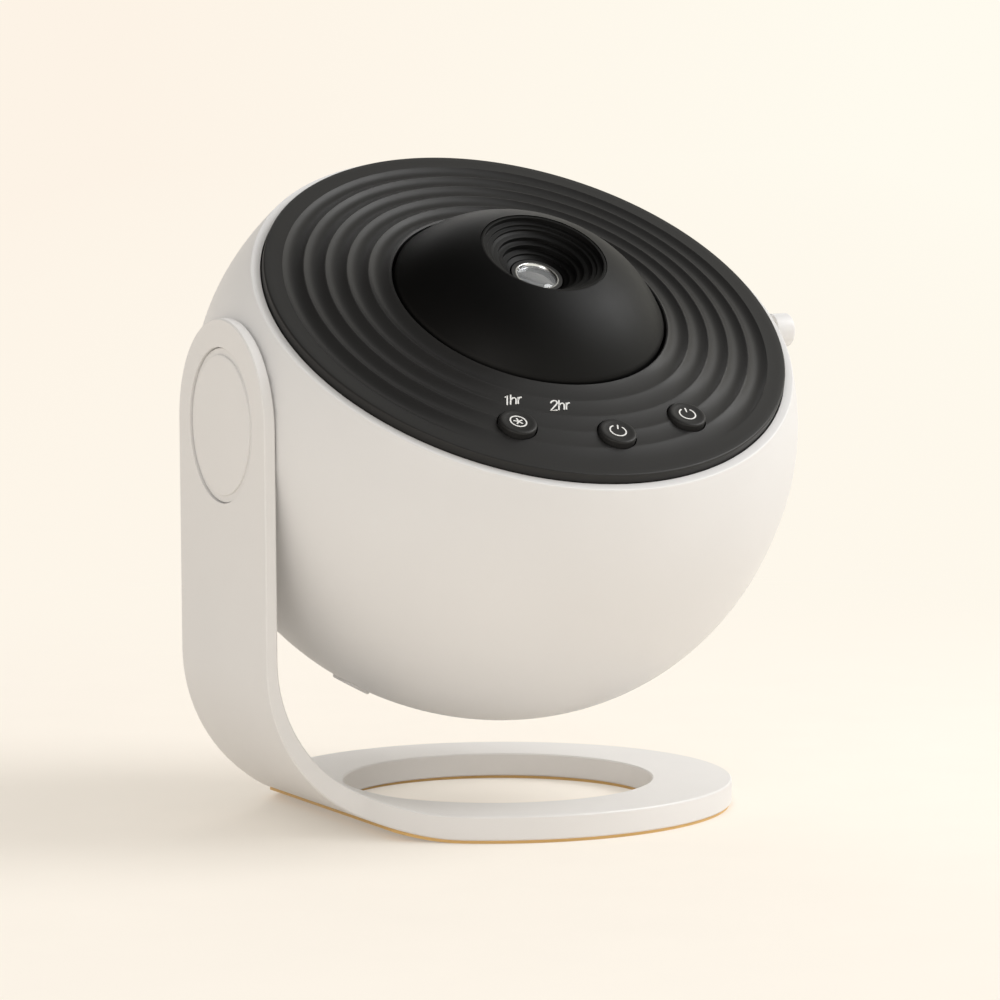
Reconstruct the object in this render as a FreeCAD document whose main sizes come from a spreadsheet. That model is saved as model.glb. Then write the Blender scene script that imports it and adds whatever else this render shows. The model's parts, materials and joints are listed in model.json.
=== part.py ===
"""Planetarium projector: a round head that tilts on a one-armed stand.

Millimetres, +Z up. The origin lies on the floor at the centre of the hole in the base ring.
The arm stands on the -X side and the face of the head looks up and towards -Y.
The pieces of the head are drawn about their optical axis, which is their own Z, and are then
tilted about X and lifted to the pivot.
"""
import FreeCAD, Part
import math
import os

import Sketcher

V = FreeCAD.Vector
doc = FreeCAD.newDocument("planetarium_projector")
sheet = doc.addObject("Spreadsheet::Sheet", "dims")

# Driving sizes, each with the alias that the pieces read
DIMENSIONS = {
    # whole object
    "pivot_height": 101.45,
    "tilt_angle": 33.31,
    "running_gap": 0.05,
    "loose_gap": 0.3,
    "overrun": 2.0,
    # stand
    "arm_thickness": 3.0,
    "arm_half_width": 26.7,
    "arm_outer_bend": 42.0,
    "arm_inner_bend": 38.0,
    "arm_blend": 12.0,
    "ring_inset": 17.18,
    "ring_offset": 0.5,
    "ring_band": 21.0,
    "ring_thickness": 6.0,
    "stand_edge_break": 0.35,
    "pad_thickness": 0.8,
    "pad_inset": 0.7,
    "pad_lap": 12.8,
    "cap_radius": 19.3,
    "cap_depth": 1.4,
    "cap_groove_width": 1.7,
    "cap_groove_depth": 0.6,
    "cap_edge_gap": 0.25,
    # pivot
    "hub_radius": 8.0,
    "hub_bore_radius": 5.0,
    "hub_flange_radius": 15.0,
    "hub_flange_thickness": 2.4,
    "hub_screw_circle": 11.5,
    "hub_screw_radius": 1.25,
    "hub_screw_length": 3.4,
    "screw_head_radius": 2.3,
    "screw_head_height": 1.2,
    "bracket_radius": 20.5,
    "bracket_thickness": 2.0,
    "bracket_screw_circle": 17.2,
    "bush_wall": 1.3,
    "bush_flange_radius": 12.0,
    "bush_flange_thickness": 1.0,
    "friction_washer_thickness": 0.8,
    "stop_plate_radius": 18.0,
    "stop_plate_thickness": 1.5,
    "stop_pin_radius": 1.5,
    "stop_pin_circle": 15.5,
    "tilt_forward_limit": 56.69,
    "tilt_back_limit": 63.31,
    "nut_radius": 12.0,
    "nut_thickness": 5.0,
    # head shell
    "shell_radius": 78.18,
    "shell_depth": 75.28,
    "shell_lip_height": 30.3,
    "shell_lip_taper": 7.5,
    "shell_wall": 2.4,
    "shell_lip_width": 2.4,
    "shell_lip_round": 0.6,
    "shell_flat_depth": 4.88,
    "arm_clearance": 0.4,
    "boss_radius": 5.0,
    "boss_inset": 7.68,
    "boss_length": 16.0,
    # face plate
    "plate_edge_gap": 0.28,
    "plate_height": 32.74,
    "plate_underside": 30.2,
    "plate_skirt_wall": 2.0,
    "plate_skirt_depth": 2.7,
    "crown_rise": 3.36,
    "plate_rim_band": 4.7,
    "ripple_pitch": 5.4,
    "ripple_depth": 1.15,
    "ripple_drop_width": 0.35,
    "fade_length": 13.0,
    # dome and lens hood
    "ripple_band_width": 33.0,
    "dome_rise": 14.25,
    "dome_bulge": 2.0,
    "dome_wall": 2.0,
    "dome_skirt": 4.1,
    "dome_gap": 0.3,
    "hood_radius": 16.3,
    "hood_collar_wall": 1.8,
    "hood_depth": 8.8,
    "hood_sink": 0.15,
    "hood_step_depth": 1.0,
    "hood_throat_radius": 7.0,
    # objective
    "nose_radius": 6.6,
    "nose_drop": 7.05,
    "nose_length": 5.3,
    "barrel_radius": 11.0,
    "barrel_wall": 1.5,
    "barrel_foot_height": 8.0,
    "focus_travel": 2.5,
    "front_lens_radius": 5.6,
    "front_lens_thickness": 1.6,
    "rear_lens_depth": 12.0,
    "rear_lens_thickness": 3.2,
    "lens_ring_thickness": 1.6,
    "lens_ring_width": 1.8,
    "guide_wall": 2.4,
    "guide_drop": 4.0,
    "guide_flange_radius": 20.0,
    "guide_flange_thickness": 2.0,
    # focus drive
    "gear_module": 0.6,
    "pinion_teeth": 12,
    "gear_backlash": 0.12,
    "rack_teeth": 11,
    "rack_width": 4.0,
    "rack_thickness": 2.6,
    "focus_height": 23.0,
    "focus_shaft_radius": 1.5,
    "knob_radius": 4.4,
    "knob_length": 5.3,
    "knob_seat_depth": 0.06,
    "knob_gap": 0.4,
    "knob_dome": 1.6,
    "knob_boss_radius": 4.3,
    "knob_boss_length": 7.6,
    "knob_bush_radius": 3.0,
    "shaft_bracket_thickness": 2.0,
    "shaft_bracket_width": 10.0,
    "shaft_bracket_gap": 1.2,
    # buttons
    "button_radius": 4.8,
    "button_inset": 14.5,
    "button_proud": 1.2,
    "button_dome": 0.5,
    "button_gap": 0.35,
    "button_flange": 0.9,
    "button_travel": 1.0,
    "button_flange_thickness": 0.9,
    "stem_radius": 1.6,
    "switch_size": 6.0,
    "switch_height": 2.0,
    "board_thickness": 1.6,
    "button_board_height": 24.6,
    "button_board_length": 60.0,
    "button_board_width": 14.0,
    "plate_post_radius": 2.0,
    # chassis
    "chassis_height": 8.0,
    "chassis_thickness": 2.0,
    "chassis_inset": 16.5,
    "chassis_ear_width": 11.0,
    "chassis_screw_radius": 1.5,
    "main_board_trim": 2.0,
    "main_board_margin": 4.0,
    "main_board_lift": 3.0,
    "chip_side": 10.4,
    "driver_width": 6.5,
    "driver_length": 8.7,
    "standoff_radius": 2.5,
    "standoff_inset": 3.75,
    # lamp and star disc
    "lamp_radius": 20.0,
    "lamp_wall": 2.0,
    "lamp_length": 35.0,
    "lamp_collar": 0.6,
    "lamp_flange_drop": 6.0,
    "lamp_flange_radius": 44.0,
    "lamp_flange_thickness": 2.0,
    "post_circle": 37.0,
    "post_radius": 3.0,
    "carrier_drop": 1.4,
    "disc_module": 0.8,
    "disc_teeth": 75,
    "carrier_thickness": 4.0,
    "star_disc_radius": 24.0,
    "star_disc_thickness": 1.0,
    "clamp_ring_width": 2.2,
    "clamp_ring_thickness": 0.8,
    "condenser_thickness": 6.0,
    "condenser_depth": 10.0,
    "led_board_thickness": 1.6,
    "led_radius": 2.6,
    "heatsink_base": 3.0,
    "heatsink_fin_length": 18.0,
    "heatsink_fin_thickness": 1.4,
    "heatsink_fins": 7,
    "motor_radius": 8.0,
    "motor_length": 17.0,
    "motor_shaft_radius": 1.0,
    "motor_angle": 150.0,
    # power inlet
    "inlet_turn": 220.5,
    "bezel_radius": 5.2,
    "bezel_proud": 0.5,
    "bezel_bevel": 0.35,
    "bezel_sunk": 0.9,
    "inlet_sleeve_radius": 4.2,
    "inlet_body_radius": 6.0,
    "inlet_length": 13.0,
    "inlet_bore_radius": 2.85,
    "inlet_pin_radius": 1.0,
    "inlet_bore_depth": 9.5,
}

for row, (alias, number) in enumerate(DIMENSIONS.items(), start=1):
    sheet.set("A%d" % row, alias)
    sheet.set("B%d" % row, str(number))
    sheet.setAlias("B%d" % row, alias)
doc.recompute()


def size(name):
    """One size, read from the sheet."""
    return float(getattr(sheet, name))


def worked(expression):
    """The number that an expression of sheet sizes stands for."""
    value = sheet.evalExpression(expression)
    return float(getattr(value, "Value", value))


# Builders shared by the pieces
PIECES = []


def piece(item, label):
    """Marks an object as a finished piece and gives it its name."""
    item.Label = label
    PIECES.append(item)
    return item


def origin_plane(body, role):
    return [part for part in body.Origin.OriginFeatures if part.Role == role][0]


def outline(body, name, role, points, offset=None):
    """A closed straight-sided sketch whose corners are bound to expressions of the sheet."""
    sketch = body.newObject("Sketcher::SketchObject", name)
    sketch.AttachmentSupport = [(origin_plane(body, role), "")]
    sketch.MapMode = "FlatFace"
    if offset:
        sketch.setExpression("AttachmentOffset.Base.z", offset)
    corners = [V(worked(across), worked(along), 0) for across, along in points]
    count = len(corners)
    for index in range(count):
        sketch.addGeometry(Part.LineSegment(corners[index], corners[(index + 1) % count]), False)
    for index in range(count):
        sketch.addConstraint(Sketcher.Constraint("Coincident", index, 2, (index + 1) % count, 1))
    for index, (across, along) in enumerate(points):
        places = (("DistanceX", across, corners[index].x), ("DistanceY", along, corners[index].y))
        for kind, expression, value in places:
            number = sketch.addConstraint(Sketcher.Constraint(kind, -1, 1, index, 1, value))
            if expression != "0":
                sketch.setExpression("Constraints[%d]" % number, expression)
    return sketch


def circles(body, name, role, rings, offset=None):
    """A sketch of circles, each given as centre across, centre along and radius."""
    sketch = body.newObject("Sketcher::SketchObject", name)
    sketch.AttachmentSupport = [(origin_plane(body, role), "")]
    sketch.MapMode = "FlatFace"
    if offset:
        sketch.setExpression("AttachmentOffset.Base.z", offset)
    for index, (across, along, radius) in enumerate(rings):
        centre = V(worked(across), worked(along), 0)
        sketch.addGeometry(Part.Circle(centre, V(0, 0, 1), worked(radius)), False)
        entries = (
            (Sketcher.Constraint("DistanceX", -1, 1, index, 3, centre.x), across),
            (Sketcher.Constraint("DistanceY", -1, 1, index, 3, centre.y), along),
            (Sketcher.Constraint("Radius", index, worked(radius)), radius),
        )
        for constraint, expression in entries:
            number = sketch.addConstraint(constraint)
            if expression != "0":
                sketch.setExpression("Constraints[%d]" % number, expression)
    return sketch


def turned(label, points):
    """A body of revolution about its own Z, from corners given as radius and height."""
    body = doc.addObject("PartDesign::Body", label + "_body")
    profile = outline(body, label + "_profile", "XZ_Plane", points)
    revolution = body.newObject("PartDesign::Revolution", label + "_turn")
    revolution.Profile = profile
    revolution.ReferenceAxis = (profile, ["V_Axis"])
    revolution.Angle = 360
    doc.recompute()
    return body


def padded(body, sketch, name, length, midplane=False, backwards=False):
    pad = body.newObject("PartDesign::Pad", name)
    pad.Profile = sketch
    pad.setExpression("Length", length)
    pad.Midplane = midplane
    pad.Reversed = backwards
    doc.recompute()
    return pad


def pocketed(body, sketch, name, length, backwards=False, midplane=False):
    """A pocket that has to remove material."""
    before = body.Shape.Volume
    pocket = body.newObject("PartDesign::Pocket", name)
    pocket.Profile = sketch
    pocket.setExpression("Length", length)
    pocket.Reversed = backwards
    pocket.Midplane = midplane
    doc.recompute()
    if not body.Shape.Volume < before:
        raise RuntimeError(name + " cuts nothing")
    return pocket


def cylinder(name, radius, length, base=("0", "0", "0"), turn=None):
    """A cylinder from expressions; turn is the rotation that lays its axis."""
    item = doc.addObject("Part::Cylinder", name)
    item.setExpression("Radius", radius)
    item.setExpression("Height", length)
    if turn:
        item.Placement = FreeCAD.Placement(V(0, 0, 0), turn)
    for axis, expression in zip("xyz", base):
        if expression != "0":
            item.setExpression("Placement.Base." + axis, expression)
    return item


def block(name, lengths, base):
    item = doc.addObject("Part::Box", name)
    for side, expression in zip(("Length", "Width", "Height"), lengths):
        item.setExpression(side, expression)
    for axis, expression in zip("xyz", base):
        if expression != "0":
            item.setExpression("Placement.Base." + axis, expression)
    return item


def cut(name, base, tool):
    item = doc.addObject("Part::Cut", name)
    item.Base = base
    item.Tool = tool
    return item


def common(name, base, tool):
    item = doc.addObject("Part::Common", name)
    item.Base = base
    item.Tool = tool
    return item


def joined(name, items):
    item = doc.addObject("Part::MultiFuse", name)
    item.Shapes = items
    return item


def group(name, items):
    """Separate solids of one kind, kept together as one piece."""
    item = doc.addObject("Part::Compound", name)
    item.Links = items
    return item


# Lays a piece's own Z along the head's X
ALONG_X = FreeCAD.Rotation(V(0, 1, 0), 90)


def on_head(item):
    """Tilts a piece drawn about the optical axis and lifts it to the pivot."""
    tilt = FreeCAD.Rotation(V(1, 0, 0), size("tilt_angle"))
    item.Placement = FreeCAD.Placement(V(0, 0, size("pivot_height")), tilt)
    item.setExpression("Placement.Base.z", "dims.pivot_height")
    item.setExpression("Placement.Rotation.Angle", "dims.tilt_angle")
    return item


def moved(shape, placement):
    """A copy of a shape with the placement worked into its geometry."""
    result = shape.copy()
    result.transformShape(placement.toMatrix(), True)
    return result


def at_pivot(item):
    """Lays a piece drawn about its own Z along X through the pivot; its Z points inward."""
    item.Placement = FreeCAD.Placement(V(0, 0, size("pivot_height")), ALONG_X)
    item.setExpression("Placement.Base.z", "dims.pivot_height")
    return item


# Radii about the optical axis, and the base ring's, that follow from the shell's
RING_RADIUS = "(dims.shell_radius - dims.ring_inset)"
RING_HOLE = "(%s - dims.ring_band)" % RING_RADIUS
LIP_RADIUS = "(dims.shell_radius - dims.shell_lip_taper)"
PLATE_RADIUS = "(%s - dims.shell_lip_width - dims.plate_edge_gap)" % LIP_RADIUS
RIPPLE_OUTER = "(%s - dims.plate_rim_band)" % PLATE_RADIUS
DOME_RADIUS = "(%s - dims.ripple_band_width)" % PLATE_RADIUS
BUTTON_CIRCLE = "(%s - dims.button_inset)" % PLATE_RADIUS
BOSS_CIRCLE = "(dims.shell_radius - dims.boss_inset)"
CHASSIS_RADIUS = "(%s - dims.chassis_inset)" % BOSS_CIRCLE
KNOB_SEAT = "(dims.shell_radius - dims.shell_lip_taper * (dims.focus_height / dims.shell_lip_height) ^ 2"
KNOB_SEAT += " - dims.knob_seat_depth)"

# Heights up the optical axis that follow from the face plate's
DOME_FOOT = "(dims.plate_height + dims.crown_rise)"
DOME_TOP = "(%s + dims.dome_rise)" % DOME_FOOT
NOSE_TOP = "(%s - dims.nose_drop)" % DOME_TOP
BARREL_TOP = "(%s - dims.nose_length)" % NOSE_TOP
GUIDE_TOP = "(%s - dims.guide_drop)" % BARREL_TOP
CHASSIS_TOP = "(dims.chassis_height + dims.chassis_thickness)"

# Stations along the pivot, from the arm's outer face inward
SHELL_FLAT = "(dims.shell_radius - dims.shell_flat_depth)"
ARM_OUTER = "(%s + dims.arm_clearance + dims.arm_thickness)" % SHELL_FLAT
ARM_IN = "(dims.arm_thickness - %s)" % ARM_OUTER
WALL_IN = "(dims.shell_wall - %s)" % SHELL_FLAT
FLANGE_OUT = ARM_IN
FLANGE_IN = "(%s + dims.hub_flange_thickness)" % FLANGE_OUT
BRACKET_IN = "(%s + dims.bracket_thickness)" % WALL_IN
BUSH_IN = "(%s + dims.bush_flange_thickness)" % BRACKET_IN
WASHER_IN = "(%s + dims.friction_washer_thickness)" % BUSH_IN
STOP_IN = "(%s + dims.stop_plate_thickness)" % WASHER_IN
NUT_IN = "(%s + dims.nut_thickness)" % STOP_IN
HUB_FLANGE_HOLE = "(dims.hub_flange_radius + dims.loose_gap)"
BUSH_RADIUS = "(dims.hub_radius + dims.running_gap + dims.bush_wall)"


def make_stand_frame():
    """A single casting: a flat arm that bends under the head and widens into an open ring."""
    body = doc.addObject("PartDesign::Body", "stand_frame_body")
    top = "(dims.pivot_height + dims.arm_half_width)"
    outer = ARM_OUTER
    inner = "(%s - dims.arm_thickness)" % ARM_OUTER
    floor = "dims.pad_thickness"
    deck = "(dims.pad_thickness + dims.ring_thickness)"
    side = body.newObject("Sketcher::SketchObject", "arm_side_view")
    side.AttachmentSupport = [(origin_plane(body, "XZ_Plane"), "")]
    side.MapMode = "FlatFace"
    reach = "(%s - dims.ring_offset)" % RING_RADIUS
    corners = [
        ("-" + outer, top),
        ("-" + outer, "%s + dims.arm_outer_bend" % floor),
        ("dims.arm_outer_bend - " + outer, floor),
        (reach, floor),
        (reach, deck),
        ("dims.arm_inner_bend - " + inner, deck),
        ("-" + inner, "%s + dims.arm_inner_bend" % deck),
        ("-" + inner, top),
    ]
    points = [V(worked(across), worked(along), 0) for across, along in corners]
    bends = {1: "dims.arm_outer_bend", 5: "dims.arm_inner_bend"}
    for index, point in enumerate(points):
        after = points[(index + 1) % len(points)]
        if index not in bends:
            side.addGeometry(Part.LineSegment(point, after), False)
            continue
        bend = worked(bends[index])
        centre = V(max(point.x, after.x), max(point.y, after.y), 0)
        circle = Part.Circle(centre, V(0, 0, 1), bend)
        side.addGeometry(Part.ArcOfCircle(circle, math.pi, math.pi * 3 / 2), False)
    # the inner arc runs against the outline, so its ends are joined the other way round
    ends = {index: (1, 2) for index in range(len(points))}
    ends[5] = (2, 1)
    for index in range(len(points)):
        after = (index + 1) % len(points)
        side.addConstraint(Sketcher.Constraint("Coincident", index, ends[index][1], after, ends[after][0]))
    for index, (across, along) in enumerate(corners):
        places = (("DistanceX", across, points[index].x), ("DistanceY", along, points[index].y))
        for kind, expression, value in places:
            number = side.addConstraint(Sketcher.Constraint(kind, -1, 1, index, ends[index][0], value))
            side.setExpression("Constraints[%d]" % number, expression)
    for index, radius in bends.items():
        number = side.addConstraint(Sketcher.Constraint("Radius", index, worked(radius)))
        side.setExpression("Constraints[%d]" % number, radius)
    padded(body, side, "arm_and_base_strip", "2 * " + RING_RADIUS, midplane=True)

    hole = cylinder("ring_hole", RING_HOLE, deck + " + 2 * dims.overrun", ("0", "0", "-dims.overrun"))
    start = "-(%s + dims.overrun)" % ARM_OUTER
    through = "dims.arm_thickness + 2 * dims.overrun"
    pivot = (start, "0", "dims.pivot_height")
    cap_pocket = cylinder("cap_pocket", "dims.cap_radius + dims.cap_edge_gap",
                          "dims.cap_depth + dims.overrun", pivot, ALONG_X)
    spigot = cylinder("hub_hole", "dims.hub_radius + dims.running_gap", through, pivot, ALONG_X)
    clearance = "dims.hub_screw_radius + dims.running_gap"
    screws = hub_screw_positions("hub_screw_clearance", clearance, through, start)
    shaped = common("stand_plan", body, make_plan_outline())
    shaped = common("stand_front", shaped, make_front_outline())
    shaped = cut("stand_ring", shaped, hole)
    doc.recompute()
    softened = soft_edges("stand_soft_edges", shaped, size("stand_edge_break"))
    fixings = joined("stand_fixings", [cap_pocket, spigot] + screws + hub_screw_sinks())
    shaped = cut("stand_with_fixings", softened, fixings)
    doc.recompute()
    return piece(shaped, "stand_frame")


def soft_edges(name, item, width):
    """Breaks every edge of an item where two faces meet at a clear angle."""
    chamfer = doc.addObject("Part::Chamfer", name)
    chamfer.Base = item
    chamfer.Edges = [(index + 1, width, width) for index, edge in enumerate(item.Shape.Edges)
                     if is_sharp(item.Shape, edge)]
    doc.recompute()
    return chamfer


# Faces that turn by less than this at an edge count as one smooth face
SMOOTH_LIMIT = math.radians(20)


def is_sharp(shape, edge):
    """True where the two faces of an edge turn by more than the smooth limit."""
    faces = shape.ancestorsOfType(edge, Part.Face)
    if len(faces) < 2:
        return False
    middle = edge.valueAt((edge.FirstParameter + edge.LastParameter) / 2)
    normals = [face.normalAt(*face.Surface.parameter(middle)) for face in faces]
    return normals[0].getAngle(normals[1]) > SMOOTH_LIMIT


# Turns of the hub's and the bracket's screws about the pivot, and of the chassis posts about the optical axis
SCREW_TURNS = (90, 210, 330)


def hub_screw_spot(turn):
    """Expressions of a hub screw's place across and above the pivot."""
    return ("dims.hub_screw_circle * cos(%d deg)" % turn,
            "dims.pivot_height + dims.hub_screw_circle * sin(%d deg)" % turn)


def hub_screw_positions(name, radius, length, start):
    """Three cylinders along X, evenly about the pivot."""
    return [cylinder("%s_%d" % (name, turn), radius, length, (start, *hub_screw_spot(turn)), ALONG_X)
            for turn in SCREW_TURNS]


def hub_screw_cones(name, rim, neck):
    """Three cones along X whose wide ends lie under the cap."""
    cones = []
    for turn in SCREW_TURNS:
        cone = doc.addObject("Part::Cone", "%s_%d" % (name, turn))
        cone.Placement = FreeCAD.Placement(V(0, 0, 0), ALONG_X)
        cone.setExpression("Radius1", rim)
        cone.setExpression("Radius2", neck)
        cone.setExpression("Height", "dims.screw_head_height")
        across, along = hub_screw_spot(turn)
        cone.setExpression("Placement.Base.x", "dims.cap_depth - %s" % ARM_OUTER)
        cone.setExpression("Placement.Base.y", across)
        cone.setExpression("Placement.Base.z", along)
        cones.append(cone)
    return cones


def hub_screw_sinks():
    """Countersinks under the cap for the three hub screws."""
    return hub_screw_cones("hub_screw_sink", "dims.screw_head_radius + dims.running_gap",
                           "dims.hub_screw_radius + dims.running_gap")


def make_plan_outline():
    """The stand seen from above: a straight arm blended into the round base on both sides."""
    half, radius, blend = size("arm_half_width"), worked(RING_RADIUS), size("arm_blend")
    centre_x = -size("ring_offset")
    reach = math.sqrt((radius + blend) ** 2 - (half + blend) ** 2)
    share = radius / (radius + blend)
    start_x = centre_x - reach
    join = V(centre_x - reach * share, (half + blend) * share, 0)
    left = -(worked(ARM_OUTER) + size("overrun"))
    lean = (math.pi / 2 - math.atan2(half + blend, reach)) / 2
    middle = V(start_x + blend * math.sin(lean), half + blend - blend * math.cos(lean), 0)
    right = V(centre_x + radius, 0, 0)

    def mirrored(point):
        return V(point.x, -point.y, 0)

    edges = [
        Part.LineSegment(V(left, -half, 0), V(left, half, 0)).toShape(),
        Part.LineSegment(V(left, half, 0), V(start_x, half, 0)).toShape(),
        Part.Arc(V(start_x, half, 0), middle, join).toShape(),
        Part.Arc(join, right, mirrored(join)).toShape(),
        Part.Arc(mirrored(join), mirrored(middle), V(start_x, -half, 0)).toShape(),
        Part.LineSegment(V(start_x, -half, 0), V(left, -half, 0)).toShape(),
    ]
    face = Part.Face(Part.Wire(edges))
    height = size("pivot_height") + size("arm_half_width") + size("overrun")
    item = doc.addObject("Part::Feature", "stand_plan_outline")
    item.Shape = face.extrude(V(0, 0, height))
    return item


def make_front_outline():
    """The stand seen along X: a round top over the pivot, open below."""
    start, length = "-(%s + dims.overrun)" % ARM_OUTER, "2 * %s + 2 * dims.overrun" % ARM_OUTER
    top = cylinder("arm_round_top", "dims.arm_half_width", length, (start, "0", "dims.pivot_height"), ALONG_X)
    below = block("arm_below_pivot",
                  (length, "2 * %s + 2 * dims.overrun" % RING_RADIUS, "dims.pivot_height + dims.overrun"),
                  (start, "-(%s + dims.overrun)" % RING_RADIUS, "-dims.overrun"))
    return joined("stand_front_outline", [top, below])


def make_base_pad():
    """A thin soft ring under the base, a little inside its edges, that laps up the arm's bend."""
    thick, bend, lap = size("pad_thickness"), size("arm_outer_bend"), size("pad_lap")
    turn = math.asin(lap / bend)
    foot = bend - worked(ARM_OUTER)
    centre = V(foot, 0, bend + thick)
    right = worked(RING_RADIUS)

    def on_bend(radius, share):
        return centre + V(-radius * math.sin(turn * share), 0, -radius * math.cos(turn * share))

    above, below = bend, bend + thick
    edges = [
        Part.makeLine(V(right, 0, 0), V(right, 0, thick)),
        Part.makeLine(V(right, 0, thick), on_bend(above, 0)),
        Part.Arc(on_bend(above, 0), on_bend(above, 1 / 2), on_bend(above, 1)).toShape(),
        Part.makeLine(on_bend(above, 1), on_bend(below, 1)),
        Part.Arc(on_bend(below, 1), on_bend(below, 1 / 2), on_bend(below, 0)).toShape(),
        Part.makeLine(on_bend(below, 0), V(right, 0, 0)),
    ]
    strip = Part.Face(Part.Wire(edges)).extrude(V(0, 2 * right, 0))
    strip.translate(V(0, -right, 0))
    height = 2 * lap
    ring = Part.makeCylinder(right - size("pad_inset"), height, V(-size("ring_offset"), 0, 0))
    hole = Part.makeCylinder(worked(RING_HOLE), height)
    item = doc.addObject("Part::Feature", "base_pad_shape")
    item.Shape = strip.common(ring).cut(hole)
    return piece(item, "base_pad")


def make_pivot_cap():
    """The round cover over the hub screws, with a shallow groove round its rim."""
    groove = "dims.cap_radius - dims.cap_groove_width"
    face = "-" + ARM_OUTER
    body = turned("pivot_cap", [
        ("0", face),
        (groove, face),
        (groove, "%s + dims.cap_groove_depth" % face),
        ("dims.cap_radius", "%s + dims.cap_groove_depth" % face),
        ("dims.cap_radius", "%s + dims.cap_depth" % face),
        ("0", "%s + dims.cap_depth" % face),
    ])
    return piece(at_pivot(body), "pivot_cap")


def make_pivot_hub():
    """A hollow flanged shaft screwed to the arm; the head turns on it."""
    spigot = "dims.cap_depth - %s" % ARM_OUTER
    body = turned("pivot_hub", [
        ("dims.hub_bore_radius", spigot),
        ("dims.hub_radius", spigot),
        ("dims.hub_radius", FLANGE_OUT),
        ("dims.hub_flange_radius", FLANGE_OUT),
        ("dims.hub_flange_radius", FLANGE_IN),
        ("dims.hub_radius", FLANGE_IN),
        ("dims.hub_radius", NUT_IN),
        ("dims.hub_bore_radius", NUT_IN),
    ])
    # the screw holes open on the flange's outer face
    holes = circles(body, "hub_screw_holes", "XY_Plane", [
        ("-dims.hub_screw_circle * sin(%d deg)" % turn, "dims.hub_screw_circle * cos(%d deg)" % turn,
         "dims.hub_screw_radius") for turn in SCREW_TURNS
    ], offset=FLANGE_OUT)
    pocketed(body, holes, "hub_screw_threads", "dims.hub_flange_thickness", backwards=True)
    return piece(at_pivot(body), "pivot_hub")


def make_hub_screws():
    """Three countersunk screws from under the cap into the hub's flange."""
    start = "dims.cap_depth - %s" % ARM_OUTER
    shanks = hub_screw_positions("hub_screw_shank", "dims.hub_screw_radius", "dims.hub_screw_length", start)
    heads = hub_screw_cones("hub_screw_head", "dims.screw_head_radius", "dims.hub_screw_radius")
    screws = [joined("hub_screw_%d" % turn, [shank, head])
              for turn, shank, head in zip(SCREW_TURNS, shanks, heads)]
    return piece(group("hub_screw_group", screws), "hub_screws")


def make_stop_plate():
    """A disc keyed to the hub; the pin of the bracket runs in its notch and sets the tilt limits."""
    outer, thickness = size("stop_plate_radius"), size("stop_plate_thickness")
    inner = size("stop_pin_circle") - 2 * size("stop_pin_radius")
    pin_reach = math.asin((size("stop_pin_radius") + size("running_gap")) / size("stop_pin_circle"))
    back = size("tilt_back_limit") + math.degrees(pin_reach)
    forward = size("tilt_forward_limit") + math.degrees(pin_reach)
    base = V(0, 0, worked(WASHER_IN))
    plate = Part.makeCylinder(outer, thickness, base)
    bore = Part.makeCylinder(size("hub_radius"), thickness, base)
    notch = Part.makeCylinder(outer + size("overrun"), thickness, base, V(0, 0, 1), back + forward)
    notch = notch.cut(Part.makeCylinder(inner, thickness, base))
    # laid along X, the pin stands at the head's tilt, turned from the downward direction
    notch.rotate(V(0, 0, 0), V(0, 0, 1), size("tilt_angle") - back)
    item = doc.addObject("Part::Feature", "stop_plate_shape")
    item.Shape = plate.cut([bore, notch])
    return piece(at_pivot(item), "stop_plate")


def make_pivot_nut():
    body = turned("pivot_nut", [
        ("dims.hub_radius", STOP_IN),
        ("dims.nut_radius", STOP_IN),
        ("dims.nut_radius", NUT_IN),
        ("dims.hub_radius", NUT_IN),
    ])
    return piece(at_pivot(body), "pivot_nut")


def shell_reach(height):
    """The shell's outer radius at a height along the optical axis."""
    widest, depth = size("shell_radius"), size("shell_depth")
    if height <= 0:
        share = min(1.0, -height / depth)
        return widest * (1 - share ** SHELL_FULLNESS) ** (1 / SHELL_FULLNESS)
    taper = (height / size("shell_lip_height")) ** 2
    return widest - size("shell_lip_taper") * taper


# How much fuller than an ellipse the bowl is; 2 is an ellipse
SHELL_FULLNESS = 2.197
# Heights where the bowl's curve is fixed, as shares of its depth, from the bottom up
BOWL_CURVE_SHARES = (0.983, 0.93, 0.845, 0.729, 0.586, 0.417, 0.226)
INNER_WALL_SHARES = (0.93, 0.8, 0.62, 0.4, 0.18)
# The same above the widest ring, as shares of the lip's height
LIP_CURVE_SHARE = 0.5
INNER_TAPER_SHARE = 1 / 3
# How far the lip's rounding bulges towards its corner
LIP_BULGE_SHARE = 0.5


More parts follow.
